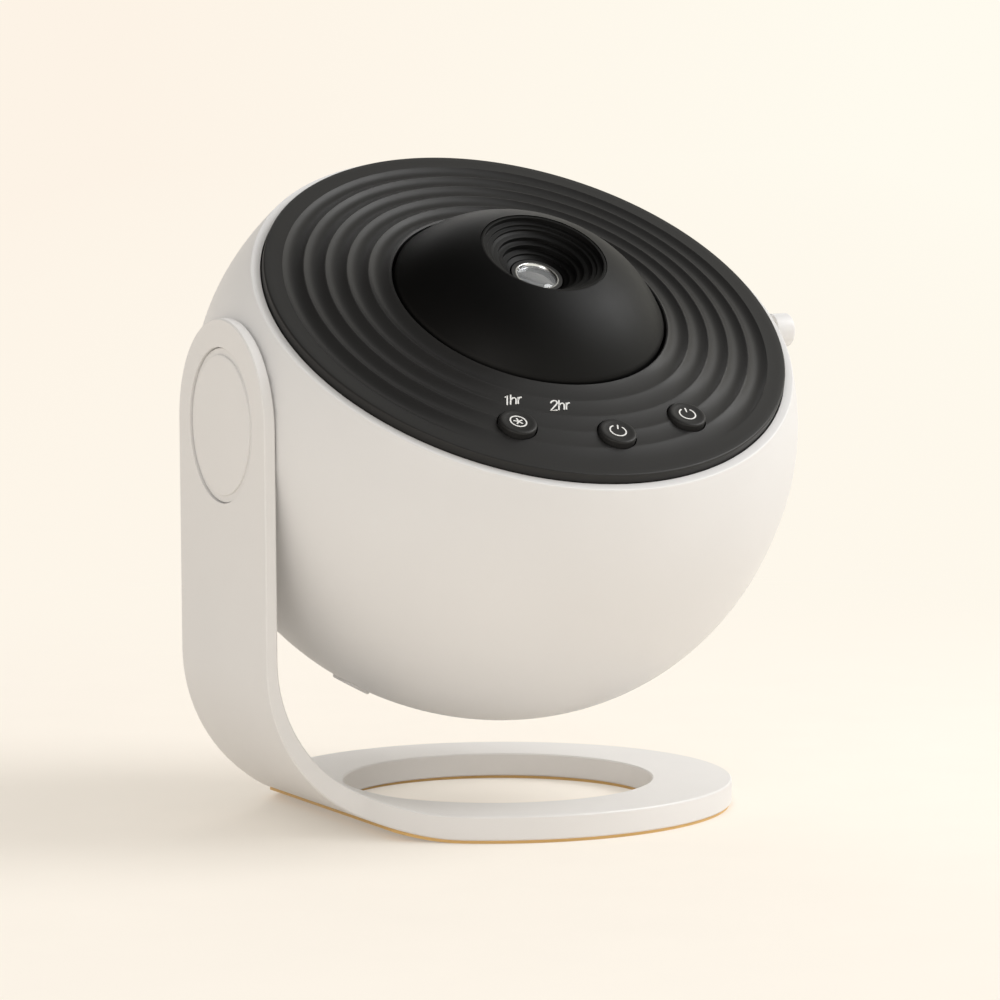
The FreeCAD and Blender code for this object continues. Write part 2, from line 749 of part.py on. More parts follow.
def make_head_shell():
    """The white bowl: a revolved wall, flat where the arm lies, with lugs and bosses inside."""
    widest, depth, wall = size("shell_radius"), size("shell_depth"), size("shell_wall")
    lip_height, lip_radius, soft = size("shell_lip_height"), worked(LIP_RADIUS), size("shell_lip_round")
    bottom = V(0, 0, -depth)
    heights = [-share * depth for share in BOWL_CURVE_SHARES] + [0]
    heights += [LIP_CURVE_SHARE * lip_height, lip_height - soft]
    stations = [bottom] + [V(shell_reach(height), 0, height) for height in heights]
    shoulder = stations[-1]
    rim = V(lip_radius - soft, 0, lip_height)
    chord = (shoulder + rim) * 0.5
    bulge = chord + (V(lip_radius, 0, lip_height) - chord) * LIP_BULGE_SHARE
    outside = [Part.Arc(*trio).toShape() for trio in zip(stations[::2], stations[1::2], stations[2::2])]
    outside.append(Part.Arc(shoulder, bulge, rim).toShape())
    inner_radius = lip_radius - size("shell_lip_width")
    inner_top = V(inner_radius, 0, lip_height)
    inner = [inner_top, V(inner_radius, 0, lip_height - size("plate_skirt_depth")),
             V(widest - wall, 0, lip_height * INNER_TAPER_SHARE), V(widest - wall, 0, 0)]
    for share in reversed(INNER_WALL_SHARES):
        inner.append(V(shell_reach(-share * depth) - wall, 0, -share * (depth - wall)))
    inner.append(V(0, 0, -(depth - wall)))
    edges = outside + [Part.makeLine(rim, inner_top)]
    edges += [Part.makeLine(first, second) for first, second in zip(inner, inner[1:])]
    edges.append(Part.makeLine(inner[-1], bottom))
    bowl = Part.Face(Part.Wire(edges)).revolve(V(0, 0, 0), V(0, 0, 1), 360)
    middle = V(0, 0, lip_height)
    full = Part.Wire(outside + [Part.makeLine(rim, middle), Part.makeLine(middle, bottom)])
    solid = Part.Face(full).revolve(V(0, 0, 0), V(0, 0, 1), 360)
    if not isinstance(solid, Part.Solid):
        solid = Part.Solid(solid.Shells[0])

    flat = worked(SHELL_FLAT)
    side_radius = math.sqrt(widest ** 2 - (flat - wall) ** 2) + wall
    side_disc = Part.makeCylinder(side_radius, wall, V(-flat, 0, 0), V(1, 0, 0)).common(solid)
    lug_foot = size("chassis_height") - size("boss_length")
    lugs = [Part.makeCylinder(size("boss_radius"), size("boss_length"),
                              on_circle(worked(BOSS_CIRCLE), turn, lug_foot)).common(solid)
            for turn in LUG_TURNS]
    focus, knob_seat = size("focus_height"), worked(KNOB_SEAT)
    knob_boss = Part.makeCylinder(size("knob_boss_radius"), widest,
                                  V(knob_seat - size("knob_boss_length"), 0, focus), V(1, 0, 0)).common(solid)
    beyond = Part.makeBox(widest, 2 * widest, 2 * widest, V(-flat - widest, -widest, -widest))
    shell = bowl.fuse([side_disc, knob_boss] + lugs).cut(beyond)

    knob_well = Part.makeCylinder(size("knob_radius") + size("knob_gap"), widest,
                                  V(knob_seat, 0, focus), V(1, 0, 0))
    bush_hole = Part.makeCylinder(size("knob_bush_radius"), widest, V(widest / 2, 0, focus), V(1, 0, 0))
    hub_hole = Part.makeCylinder(worked(HUB_FLANGE_HOLE), widest / 2, V(-widest, 0, 0), V(1, 0, 0))
    screw_holes = [Part.makeCylinder(size("chassis_screw_radius"), size("boss_length") / 2,
                                     lug_point(turn, size("chassis_height") - size("boss_length") / 2))
                   for turn in LUG_TURNS]
    inlet_hole = Part.makeCylinder(size("inlet_sleeve_radius") + size("running_gap"), size("inlet_length"),
                                   inlet_point(-size("inlet_length") / 2), inlet_direction())
    bezel_seat = inlet_rod(size("bezel_radius") + size("running_gap"), -size("bezel_sunk"),
                           size("inlet_length"))
    threads = bracket_screw_tools(size("hub_screw_radius") * SMALL_SCREW_SHARE,
                                  worked(WALL_IN) - wall * SMALL_SCREW_BITE_SHARE)
    shell = shell.cut([knob_well, bush_hole, hub_hole, inlet_hole, bezel_seat] + screw_holes + threads)
    item = doc.addObject("Part::Feature", "head_shell_shape")
    item.Shape = shell.removeSplitter()
    return piece(on_head(item), "head_shell")


# The four lugs that carry the chassis, as turns about the optical axis
LUG_TURNS = (45, 135, 225, 315)
# The bracket's screws against those of the hub, and how far they go into the shell's wall
SMALL_SCREW_SHARE = 0.8
SMALL_SCREW_BITE_SHARE = 0.6


def on_circle(radius, turn, height):
    """A point on a circle about the optical axis, its turn in degrees from +X."""
    return V(radius * math.cos(math.radians(turn)), radius * math.sin(math.radians(turn)), height)


def lug_point(turn, height):
    return on_circle(worked(BOSS_CIRCLE) - size("boss_radius") / 2, turn, height)


def bracket_screw_tools(radius, start):
    """Three cylinders along X on the bracket's screw circle, from start through the bracket."""
    length = worked(BRACKET_IN) - start
    spots = [on_circle(size("bracket_screw_circle"), turn, start) for turn in SCREW_TURNS]
    return [Part.makeCylinder(radius, length, V(start, spot.x, spot.y), V(1, 0, 0)) for spot in spots]


# Where the power inlet stands below the widest ring, as a share of the bowl's depth
INLET_DEPTH_SHARE = 0.789


def inlet_direction():
    """The way out of the power inlet, square to the shell's surface."""
    widest, depth = size("shell_radius"), size("shell_depth")
    across = shell_reach(-INLET_DEPTH_SHARE * depth) / widest
    outward = across ** (SHELL_FULLNESS - 1) / widest
    downward = INLET_DEPTH_SHARE ** (SHELL_FULLNESS - 1) / depth
    return on_circle(outward, size("inlet_turn"), -downward).normalize()


def inlet_point(along):
    """A point on the inlet's axis, measured outward from the shell's surface."""
    drop = INLET_DEPTH_SHARE * size("shell_depth")
    return on_circle(shell_reach(-drop), size("inlet_turn"), -drop) + inlet_direction() * along


def crown_height(radius):
    """Height of the face plate's crest line at a radius."""
    outer, inner = worked(RIPPLE_OUTER), worked(DOME_RADIUS)
    if radius >= outer:
        return size("plate_height")
    return size("plate_height") + size("crown_rise") * (outer - radius) / (outer - inner)


def make_face_plate():
    """The black top: crowned, with coved ripples that fade out round the buttons."""
    outer, under, crest_line = worked(PLATE_RADIUS), size("plate_underside"), worked(RIPPLE_OUTER)
    hole = worked(DOME_RADIUS) + size("dome_gap")
    ledge = hole - size("dome_wall")
    ledge_height = worked(DOME_FOOT) - size("dome_skirt")
    skirt = outer - size("plate_skirt_wall")
    edge = size("ripple_depth") / 2
    profile = [
        V(hole, 0, crown_height(worked(DOME_RADIUS))),
        V(crest_line, 0, size("plate_height")),
        V(outer - edge, 0, size("plate_height")),
        V(outer, 0, size("plate_height") - edge),
        V(outer, 0, under - size("plate_skirt_depth")),
        V(skirt, 0, under - size("plate_skirt_depth")),
        V(skirt, 0, under),
        V(ledge, 0, under),
        V(ledge, 0, ledge_height),
        V(hole, 0, ledge_height),
    ]
    plate = Part.Face(Part.makePolygon(profile + profile[:1])).revolve(V(0, 0, 0), V(0, 0, 1), 360)

    # each cove drops just inside its crest and climbs back in a shallow arc to the next
    coves, filled = [], fade_roof()
    count = int((crest_line - hole) / size("ripple_pitch"))
    for index in range(count):
        crest = crest_line - index * size("ripple_pitch")
        floor = crest - size("ripple_drop_width")
        inner = crest - size("ripple_pitch")
        start = V(crest, 0, crown_height(crest))
        low = V(floor, 0, crown_height(floor) - size("ripple_depth"))
        finish = V(inner, 0, crown_height(inner))
        sag = size("ripple_depth") * COVE_SAG_SHARE
        middle = (low + finish) * 0.5 - V(0, 0, sag)
        above = V(0, 0, size("ripple_depth"))
        edges = [Part.makeLine(start, low), Part.Arc(low, middle, finish).toShape(),
                 Part.makeLine(finish, finish + above), Part.makeLine(finish + above, start + above),
                 Part.makeLine(start + above, start)]
        coves.append(Part.Face(Part.Wire(edges)).revolve(V(0, 0, 0), V(0, 0, 1), 360).cut(filled))
    plate = plate.cut(coves)

    holes = [Part.makeCylinder(size("button_radius") + size("button_gap"), 2 * size("plate_height"), place)
             for place in button_places().values()]
    board_top = size("button_board_height") + size("board_thickness")
    post_feet = [V(across, post_line(), board_top) for across in (-post_spread(), post_spread())]
    posts = [Part.makeCylinder(size("plate_post_radius"), under - board_top, foot) for foot in post_feet]
    item = doc.addObject("Part::Feature", "face_plate_shape")
    item.Shape = plate.cut(holes).fuse(posts).removeSplitter()
    return piece(on_head(item), "face_plate")


# The cove's sag below the straight line from its floor to the next crest, against its depth
COVE_SAG_SHARE = 0.22


# Direction of the middle button from the optical axis, and how far the smooth sector
# reaches to each side of it, both as turns
BUTTON_SIDE = -90
SMOOTH_SECTOR = 60


def fade_roof():
    """What stays filled of the coves: a roof over the buttons that slopes down to each side."""
    reach = 2 * worked(PLATE_RADIUS)
    level = size("plate_height") - size("ripple_depth")
    rise = (size("crown_rise") + size("ripple_depth")) / size("fade_length") * reach
    slopes = []
    for side in (-1, 1):
        corners = [V(-reach, 0, level), V(-reach, side * reach, level + rise), V(-reach, side * reach, level)]
        slope = Part.Face(Part.makePolygon(corners + corners[:1])).extrude(V(2 * reach, 0, 0))
        slope.rotate(V(0, 0, 0), V(0, 0, 1), BUTTON_SIDE - side * SMOOTH_SECTOR)
        slopes.append(slope)
    return slopes[0].common(slopes[1])


def post_spread():
    return size("button_board_length") / 2 - 2 * size("plate_post_radius")


def post_line():
    return size("plate_post_radius") - worked(BUTTON_CIRCLE) - size("button_board_width") / 2


# The three buttons and their turns about the optical axis, measured from +X
BUTTON_TURNS = {"star_button": -116.3, "light_button": -88.6, "timer_button": -64.3}


def button_places():
    return {name: on_circle(worked(BUTTON_CIRCLE), turn, 0) for name, turn in BUTTON_TURNS.items()}


def make_buttons():
    """Round caps with a retaining flange under the plate and a stem down to its switch."""
    face = crown_height(worked(BUTTON_CIRCLE)) + size("button_proud")
    switch_top = size("button_board_height") + size("board_thickness") + size("switch_height")
    flange = size("button_radius") + size("button_gap") + size("button_flange")
    under = size("plate_underside")
    for name, place in button_places().items():
        cap = Part.makeCylinder(size("button_radius"), face - under, place + V(0, 0, under))
        rims = [edge for edge in cap.Edges if edge.BoundBox.ZMin > face - size("running_gap")]
        cap = cap.makeChamfer(size("button_dome"), rims)
        disc = Part.makeCylinder(flange, size("button_flange_thickness"),
                                 place + V(0, 0, under - size("button_flange_thickness")))
        foot = switch_top + size("button_travel")
        stem = Part.makeCylinder(size("stem_radius"), under - foot, place + V(0, 0, foot))
        item = doc.addObject("Part::Feature", name + "_shape")
        item.Shape = cap.fuse([disc, stem]).removeSplitter()
        piece(on_head(item), name)


def make_button_board():
    """The circuit board under the buttons."""
    length, width = size("button_board_length"), size("button_board_width")
    base = V(-length / 2, -worked(BUTTON_CIRCLE) - width / 2, size("button_board_height"))
    item = doc.addObject("Part::Feature", "button_board_shape")
    item.Shape = Part.makeBox(length, width, size("board_thickness"), base)
    return piece(on_head(item), "button_board")


def make_button_switches():
    """One square push switch under each button."""
    side = size("switch_size")
    base = size("button_board_height") + size("board_thickness")
    boxes = [Part.makeBox(side, side, size("switch_height"), place + V(-side / 2, -side / 2, base))
             for place in button_places().values()]
    item = doc.addObject("Part::Feature", "button_switches_shape")
    item.Shape = Part.makeCompound(boxes)
    return piece(on_head(item), "button_switches")


# How far the dome's inner face bulges against the outer, and how far it drops against the wall
INNER_BULGE_SHARE = 0.8
INNER_DROP_SHARE = 0.25


def make_dome_cover():
    """The black dome round the lens, seated on the face plate's inner ledge."""
    top, wall, base = worked(DOME_TOP), size("dome_wall"), worked(DOME_FOOT)
    skirt_foot = base - size("dome_skirt")
    base_radius = worked(DOME_RADIUS)
    rim = size("hood_radius") + 2 * size("running_gap")
    collar = rim + size("hood_collar_wall")
    low, high = V(base_radius, 0, base), V(rim, 0, top)
    chord = high - low
    bulge = V(chord.z, 0, -chord.x).normalize() * size("dome_bulge")
    middle = (low + high) * 0.5 + bulge
    inner_low = V(base_radius - wall, 0, base - wall * INNER_DROP_SHARE)
    inner_high = V(collar, 0, top - wall)
    inner_middle = (inner_low + inner_high) * 0.5 + bulge * INNER_BULGE_SHARE
    collar_foot = top - size("hood_depth") + size("dome_wall")
    edges = [
        Part.Arc(low, middle, high).toShape(),
        Part.makeLine(high, V(rim, 0, collar_foot)),
        Part.makeLine(V(rim, 0, collar_foot), V(collar, 0, collar_foot)),
        Part.makeLine(V(collar, 0, collar_foot), inner_high),
        Part.Arc(inner_high, inner_middle, inner_low).toShape(),
        Part.makeLine(inner_low, V(inner_low.x, 0, skirt_foot)),
        Part.makeLine(V(inner_low.x, 0, skirt_foot), V(low.x, 0, skirt_foot)),
        Part.makeLine(V(low.x, 0, skirt_foot), low),
    ]
    item = doc.addObject("Part::Feature", "dome_cover_shape")
    item.Shape = Part.Face(Part.Wire(edges)).revolve(V(0, 0, 0), V(0, 0, 1), 360)
    return piece(on_head(item), "dome_cover")


# Rings of the stepped hood round the lens
HOOD_STEPS = 6


def make_lens_hood():
    """The stepped ring round the lens that keeps stray light off it."""
    top = "%s - dims.hood_sink" % DOME_TOP
    throat, rim = "dims.hood_throat_radius", "(dims.hood_radius - dims.hood_step_depth)"
    foot = "%s - dims.hood_depth" % top
    points = [("dims.hood_radius", foot), ("dims.hood_radius", top), (rim, top)]
    tread = "(%s - %s) / %d" % (rim, throat, HOOD_STEPS)
    for step in range(1, HOOD_STEPS + 1):
        radius_before = "%s - %d * %s" % (rim, step - 1, tread)
        radius_after = "%s - %d * %s" % (rim, step, tread)
        height = "%s - %d * dims.hood_step_depth" % (top, step)
        points.append((radius_before, height))
        points.append((radius_after, height))
    points.append((throat, foot))
    body = turned("lens_hood", points)
    return piece(on_head(body), "lens_hood")


# Stations down the optical axis
BARREL_BORE = "(dims.barrel_radius - dims.barrel_wall)"
REAR_LENS_TOP = "(%s - dims.rear_lens_depth)" % BARREL_TOP
REAR_LENS_FOOT = "(%s - dims.rear_lens_thickness)" % REAR_LENS_TOP
LAMP_SHOULDER = "(-dims.carrier_drop)"
LAMP_FOOT = "(-dims.lamp_length)"


def make_lens_barrel():
    """The focusing tube with its narrow nose; the rack is screwed to a pad on its side."""
    nose_bore = "dims.front_lens_radius"
    body = turned("lens_barrel", [
        (nose_bore, BARREL_TOP + " - dims.barrel_wall"),
        (BARREL_BORE, BARREL_TOP + " - dims.barrel_wall"),
        (BARREL_BORE, "dims.barrel_foot_height"),
        ("dims.barrel_radius", "dims.barrel_foot_height"),
        ("dims.barrel_radius", BARREL_TOP),
        ("dims.nose_radius", BARREL_TOP),
        ("dims.nose_radius", NOSE_TOP),
        (nose_bore, NOSE_TOP),
    ])
    return piece(on_head(body), "lens_barrel")


def lens(label, radius, top, thickness, domed_up):
    """A plano-convex lens: a short cylinder with one shallow spherical face."""
    rise = thickness * LENS_RISE_SHARE
    foot = top - thickness
    if domed_up:
        low, high, crown = foot, top - rise, V(0, 0, top)
    else:
        low, high, crown = top, foot + rise, V(0, 0, foot)
    flat_centre, flat_rim, curved_rim = V(0, 0, low), V(radius, 0, low), V(radius, 0, high)
    sphere_radius = (radius ** 2 + rise ** 2) / (2 * rise)
    sign = 1 if domed_up else -1
    half = math.asin(radius / sphere_radius) / 2
    middle = V(sphere_radius * math.sin(half), 0, crown.z - sign * sphere_radius * (1 - math.cos(half)))
    edges = [Part.makeLine(flat_centre, flat_rim), Part.makeLine(flat_rim, curved_rim),
             Part.Arc(curved_rim, middle, crown).toShape(), Part.makeLine(crown, flat_centre)]
    item = doc.addObject("Part::Feature", label + "_shape")
    item.Shape = Part.Face(Part.Wire(edges)).revolve(V(0, 0, 0), V(0, 0, 1), 360)
    return piece(on_head(item), label)


# How much of a lens's thickness its curved face takes up
LENS_RISE_SHARE = 0.4


def make_lenses():
    top = worked(NOSE_TOP) - size("running_gap")
    lens("front_lens", size("front_lens_radius"), top, size("front_lens_thickness"), True)
    lens("rear_lens", worked(BARREL_BORE), worked(REAR_LENS_TOP), size("rear_lens_thickness"), False)
    bore = worked(LAMP_INNER)
    lens("condenser_lens", bore, -size("condenser_depth"), size("condenser_thickness"), True)


LAMP_INNER = "(dims.lamp_radius - dims.lamp_wall)"


def make_lens_ring():
    """The threaded ring that holds the rear lens in the barrel."""
    body = turned("lens_ring", [
        (BARREL_BORE + " - dims.lens_ring_width", REAR_LENS_FOOT + " - dims.lens_ring_thickness"),
        (BARREL_BORE, REAR_LENS_FOOT + " - dims.lens_ring_thickness"),
        (BARREL_BORE, REAR_LENS_FOOT),
        (BARREL_BORE + " - dims.lens_ring_width", REAR_LENS_FOOT),
    ])
    return piece(on_head(body), "lens_ring")


def pitch_radius():
    return size("gear_module") * size("pinion_teeth") / 2


def rack_depth_position():
    """The rack's inner face, just clear of the guide tube."""
    return size("barrel_radius") + size("running_gap") + size("guide_wall") + size("loose_gap")


def gear_outline(module, teeth, backlash, turn=0.0):
    """Closed wire of an involute spur gear about the origin, with the flanks in short chords."""
    pitch = module * teeth / 2
    base = pitch * math.cos(PRESSURE_ANGLE)
    tip, root = pitch + module, pitch - ROOT_DEPTH_SHARE * module
    half_tooth = math.pi / (2 * teeth) - backlash / (2 * pitch)
    involute_at_pitch = math.tan(PRESSURE_ANGLE) - PRESSURE_ANGLE
    points = []
    for tooth in range(teeth):
        middle = turn + 2 * math.pi * tooth / teeth
        flank = []
        for share in FLANK_SHARES:
            radius = max(base, root) + (tip - max(base, root)) * share
            roll = math.acos(min(1.0, base / radius))
            half = half_tooth + involute_at_pitch - (math.tan(roll) - roll)
            flank.append((radius, half))
        root_half = flank[0][1]
        lower = [(root, root_half)] + flank
        points += [(radius, middle - half) for radius, half in lower]
        points += [(radius, middle + half) for radius, half in reversed(lower)]
    corners = [V(radius * math.cos(angle), radius * math.sin(angle), 0) for radius, angle in points]
    return Part.makePolygon(corners + corners[:1])


PRESSURE_ANGLE = math.radians(20)
# Depth of the tooth's root below the pitch line, against the module
ROOT_DEPTH_SHARE = 1.25
# Points up a flank, from the base circle to the tip
FLANK_SHARES = (0.0, 0.35, 0.7, 1.0)


def make_focus_rack():
    """The straight toothed bar on the barrel, beside the pinion."""
    module, teeth = size("gear_module"), int(size("rack_teeth"))
    pitch = math.pi * module
    line = pitch_radius()
    thin = size("gear_backlash") / 2
    half = pitch / 4 - thin
    tip, root = line - module, line + ROOT_DEPTH_SHARE * module
    lean = math.tan(PRESSURE_ANGLE)
    centre = size("focus_height")
    back = root + size("rack_thickness")
    length = teeth * pitch
    points = [(back, -length / 2), (root, -length / 2)]
    for tooth in range(teeth):
        # the pinion has a gap at the pitch point, so the rack has a tooth there
        middle = (tooth - (teeth - 1) / 2) * pitch
        points += [
            (root, middle - half - (root - line) * lean), (tip, middle - half + (line - tip) * lean),
            (tip, middle + half - (line - tip) * lean), (root, middle + half + (root - line) * lean),
        ]
    points += [(root, length / 2), (back, length / 2)]
    start = rack_depth_position()
    corners = [V(start, depth, centre + along) for depth, along in points]
    bar = Part.Face(Part.makePolygon(corners + corners[:1])).extrude(V(size("rack_width"), 0, 0))
    # the pad passes through the guide's slot to the barrel
    pad_height = length / 2
    pad = Part.makeBox(start, back - root, pad_height, V(0, root, centre - pad_height / 2))
    pad = pad.cut(Part.makeCylinder(size("barrel_radius"), 2 * pad_height, V(0, 0, centre - pad_height)))
    item = doc.addObject("Part::Feature", "focus_rack_shape")
    item.Shape = bar.fuse(pad).removeSplitter()
    return piece(on_head(item), "focus_rack")


def make_guide_tube():
    """The fixed tube that the barrel slides in, flanged onto the chassis and slotted for the rack."""
    inner = size("barrel_radius") + size("running_gap")
    outer = inner + size("guide_wall")
    foot = worked(CHASSIS_TOP)
    length = worked(GUIDE_TOP) - foot
    tube = Part.makeCylinder(outer, length, V(0, 0, foot))
    flange = Part.makeCylinder(size("guide_flange_radius"), size("guide_flange_thickness"), V(0, 0, foot))
    bore = Part.makeCylinder(inner, length, V(0, 0, foot))
    root = pitch_radius() + ROOT_DEPTH_SHARE * size("gear_module")
    gap = size("loose_gap")
    half_rack = size("rack_teeth") * math.pi * size("gear_module") / 2
    lowest = size("focus_height") - size("focus_travel") - gap
    slot = Part.makeBox(outer, size("rack_thickness") + 2 * gap, length,
                        V(0, root - gap, lowest - half_rack / 2))
    # the end of the rack passes in front of the flange
    rack_foot = lowest - half_rack
    reach = size("guide_flange_radius")
    relief = Part.makeBox(reach, 2 * reach, size("guide_flange_thickness"),
                          V(rack_depth_position() - gap, -reach, foot))
    shape = tube.fuse(flange).cut([bore, slot])
    if rack_foot < foot + size("guide_flange_thickness"):
        shape = shape.cut(relief)
    item = doc.addObject("Part::Feature", "guide_tube_shape")
    item.Shape = shape.removeSplitter()
    return piece(on_head(item), "guide_tube")


def make_focus_pinion():
    """The small gear on the focus shaft, in mesh with the rack."""
    teeth = int(size("pinion_teeth"))
    half_pitch = math.pi / teeth
    # its axis lies along X; the rack lies towards +Y, where the gear shows a gap
    turn = math.pi / 2 + half_pitch
    gear = Part.Face(gear_outline(size("gear_module"), teeth, size("gear_backlash"), turn))
    solid = gear.extrude(V(0, 0, size("rack_width")))
    solid = solid.cut(Part.makeCylinder(size("focus_shaft_radius"), size("rack_width")))
    item = doc.addObject("Part::Feature", "focus_pinion_shape")
    item.Shape = moved(solid, FreeCAD.Placement(V(rack_depth_position(), 0, size("focus_height")), ALONG_X))
    return piece(on_head(item), "focus_pinion")


def focus_rod(name, start, end):
    """A round bar on the focus shaft's axis."""
    item = doc.addObject("Part::Feature", name)
    item.Shape = Part.makeCylinder(size("focus_shaft_radius"), end - start,
                                   V(start, 0, size("focus_height")), V(1, 0, 0))
    return item


def make_focus_shaft():
    start = rack_depth_position()
    end = worked(KNOB_SEAT) + size("knob_gap") + size("knob_length") / 2
    return piece(on_head(focus_rod("focus_shaft_shape", start, end)), "focus_shaft")


def make_focus_knob():
    """The small domed knob on the side of the shell, bored for its shaft."""
    start = worked(KNOB_SEAT) + size("knob_gap")
    length, radius, rise = size("knob_length"), size("knob_radius"), size("knob_dome")
    bore, shoulder = size("focus_shaft_radius"), length - rise
    lean = rise * (1 - math.sqrt(1 / 2))
    edges = [
        Part.makeLine(V(bore, 0, 0), V(radius, 0, 0)),
        Part.makeLine(V(radius, 0, 0), V(radius, 0, shoulder)),
        Part.Arc(V(radius, 0, shoulder), V(radius - lean, 0, length - lean),
                 V(radius - rise, 0, length)).toShape(),
        Part.makeLine(V(radius - rise, 0, length), V(0, 0, length)),
        Part.makeLine(V(0, 0, length), V(0, 0, length / 2)),
        Part.makeLine(V(0, 0, length / 2), V(bore, 0, length / 2)),
        Part.makeLine(V(bore, 0, length / 2), V(bore, 0, 0)),
    ]
    solid = Part.Face(Part.Wire(edges)).revolve(V(0, 0, 0), V(0, 0, 1), 360)
    item = doc.addObject("Part::Feature", "focus_knob_shape")
    item.Shape = moved(solid, FreeCAD.Placement(V(start, 0, size("focus_height")), ALONG_X))
    return piece(on_head(item), "focus_knob")


def make_knob_bush():
    """The bush in the shell's boss that the focus shaft turns in."""
    start, length = worked(KNOB_SEAT) - size("knob_boss_length"), size("knob_boss_length")
    focus = V(start, 0, size("focus_height"))
    bush = Part.makeCylinder(size("knob_bush_radius"), length, focus, V(1, 0, 0))
    bore = Part.makeCylinder(size("focus_shaft_radius") + size("running_gap"), length, focus, V(1, 0, 0))
    item = doc.addObject("Part::Feature", "knob_bush_shape")
    item.Shape = bush.cut(bore)
    return piece(on_head(item), "knob_bush")


def make_shaft_bracket():
    """An upright on the chassis that holds the shaft beside its pinion."""
    start = rack_depth_position() + size("rack_width") + size("shaft_bracket_gap")
    foot, focus, width = worked(CHASSIS_TOP), size("focus_height"), size("shaft_bracket_width")
    thickness = size("shaft_bracket_thickness")
    upright = Part.makeBox(thickness, width, focus - foot, V(start, -width / 2, foot))
    eye = Part.makeCylinder(width / 2, thickness, V(start, 0, focus), V(1, 0, 0))
    sole = Part.makeBox(width, width, thickness, V(start, -width / 2, foot))
    bore = Part.makeCylinder(size("focus_shaft_radius") + size("running_gap"), thickness,
                             V(start, 0, focus), V(1, 0, 0))
    item = doc.addObject("Part::Feature", "shaft_bracket_shape")
    item.Shape = upright.fuse([eye, sole]).cut(bore).removeSplitter()
    return piece(on_head(item), "shaft_bracket")


def make_chassis_plate():
    """The cross-shaped plate that carries the optics, screwed to the shell's four lugs."""
    foot, thickness = size("chassis_height"), size("chassis_thickness")
    plate = Part.makeCylinder(worked(CHASSIS_RADIUS), thickness, V(0, 0, foot))
    ears = []
    holes = [Part.makeCylinder(size("barrel_radius") + size("loose_gap"), thickness, V(0, 0, foot))]
    for turn in LUG_TURNS:
        centre = lug_point(turn, foot)
        reach = math.hypot(centre.x, centre.y)
        half = size("chassis_ear_width") / 2
        ear = Part.makeBox(reach, 2 * half, thickness, V(0, -half, foot))
        tip = Part.makeCylinder(half, thickness, V(reach, 0, foot))
        ear = ear.fuse(tip)
        ear.rotate(V(0, 0, 0), V(0, 0, 1), turn)
        ears.append(ear)
        holes.append(Part.makeCylinder(size("chassis_screw_radius") + size("running_gap"), thickness, centre))
    standoffs = [Part.makeCylinder(size("standoff_radius"), size("main_board_lift"), place)
                 for place in standoff_places(foot + thickness)]
    item = doc.addObject("Part::Feature", "chassis_plate_shape")
    item.Shape = plate.fuse(ears + standoffs).cut(holes).removeSplitter()
    return piece(on_head(item), "chassis_plate")


def standoff_places(height):
    """Corners of the main board, a little inside its edges."""
    inset = size("standoff_inset")
    across = board_length() / 2 - inset
    near, far = board_near_edge() + inset, board_far_edge() - inset
    return [V(x, y, height) for x in (-across, across) for y in (near, far)]


def board_length():
    return worked(CHASSIS_RADIUS) - size("main_board_trim")


def board_near_edge():
    return size("guide_flange_radius") + 2 * size("overrun")


def board_far_edge():
    return worked(CHASSIS_RADIUS) - size("main_board_margin")


def make_main_board():
    """The main circuit board behind the lens, with its processor and driver."""
    base = worked(CHASSIS_TOP) + size("main_board_lift")
    length, thick, near, far = board_length(), size("board_thickness"), board_near_edge(), board_far_edge()
    board = Part.makeBox(length, far - near, thick, V(-length / 2, near, base))
    chip_side, driver_width, driver_length = size("chip_side"), size("driver_width"), size("driver_length")
    foot = (near + far - chip_side) / 2
    chip = Part.makeBox(chip_side, chip_side, thick, V(-length / 4, foot, base + thick))
    driver = Part.makeBox(driver_width, driver_length, thick,
                          V(length / 4 - driver_width, foot, base + thick))
    item = doc.addObject("Part::Feature", "main_board_shape")
    item.Shape = board.fuse([chip, driver]).removeSplitter()
    return piece(on_head(item), "main_board")


def make_chassis_screws():
    """Four screws through the chassis into the shell's lugs."""
    screws = []
    for turn in LUG_TURNS:
        top = lug_point(turn, worked(CHASSIS_TOP))
        length = size("boss_length") / 2
        shank = Part.makeCylinder(size("chassis_screw_radius"), length, top - V(0, 0, length))
        head = Part.makeCylinder(size("screw_head_radius"), size("screw_head_height"), top)
        screws.append(shank.fuse(head).removeSplitter())
    item = doc.addObject("Part::Feature", "chassis_screws_shape")
    item.Shape = Part.makeCompound(screws)
    return piece(on_head(item), "chassis_screws")


def post_places(height):
    return [on_circle(size("post_circle"), turn, height) for turn in SCREW_TURNS]


def make_chassis_posts():
    """Three spacers that hang the lamp house below the chassis."""
    foot = -size("lamp_flange_drop")
    length = size("chassis_height") - foot
    item = doc.addObject("Part::Feature", "chassis_posts_shape")
    item.Shape = Part.makeCompound([Part.makeCylinder(size("post_radius"), length, place)
                                    for place in post_places(foot)])
    return piece(on_head(item), "chassis_posts")


def motor_centre(height):
    reach = size("disc_module") * (size("disc_teeth") + size("pinion_teeth")) / 2
    return on_circle(reach, size("motor_angle"), height)


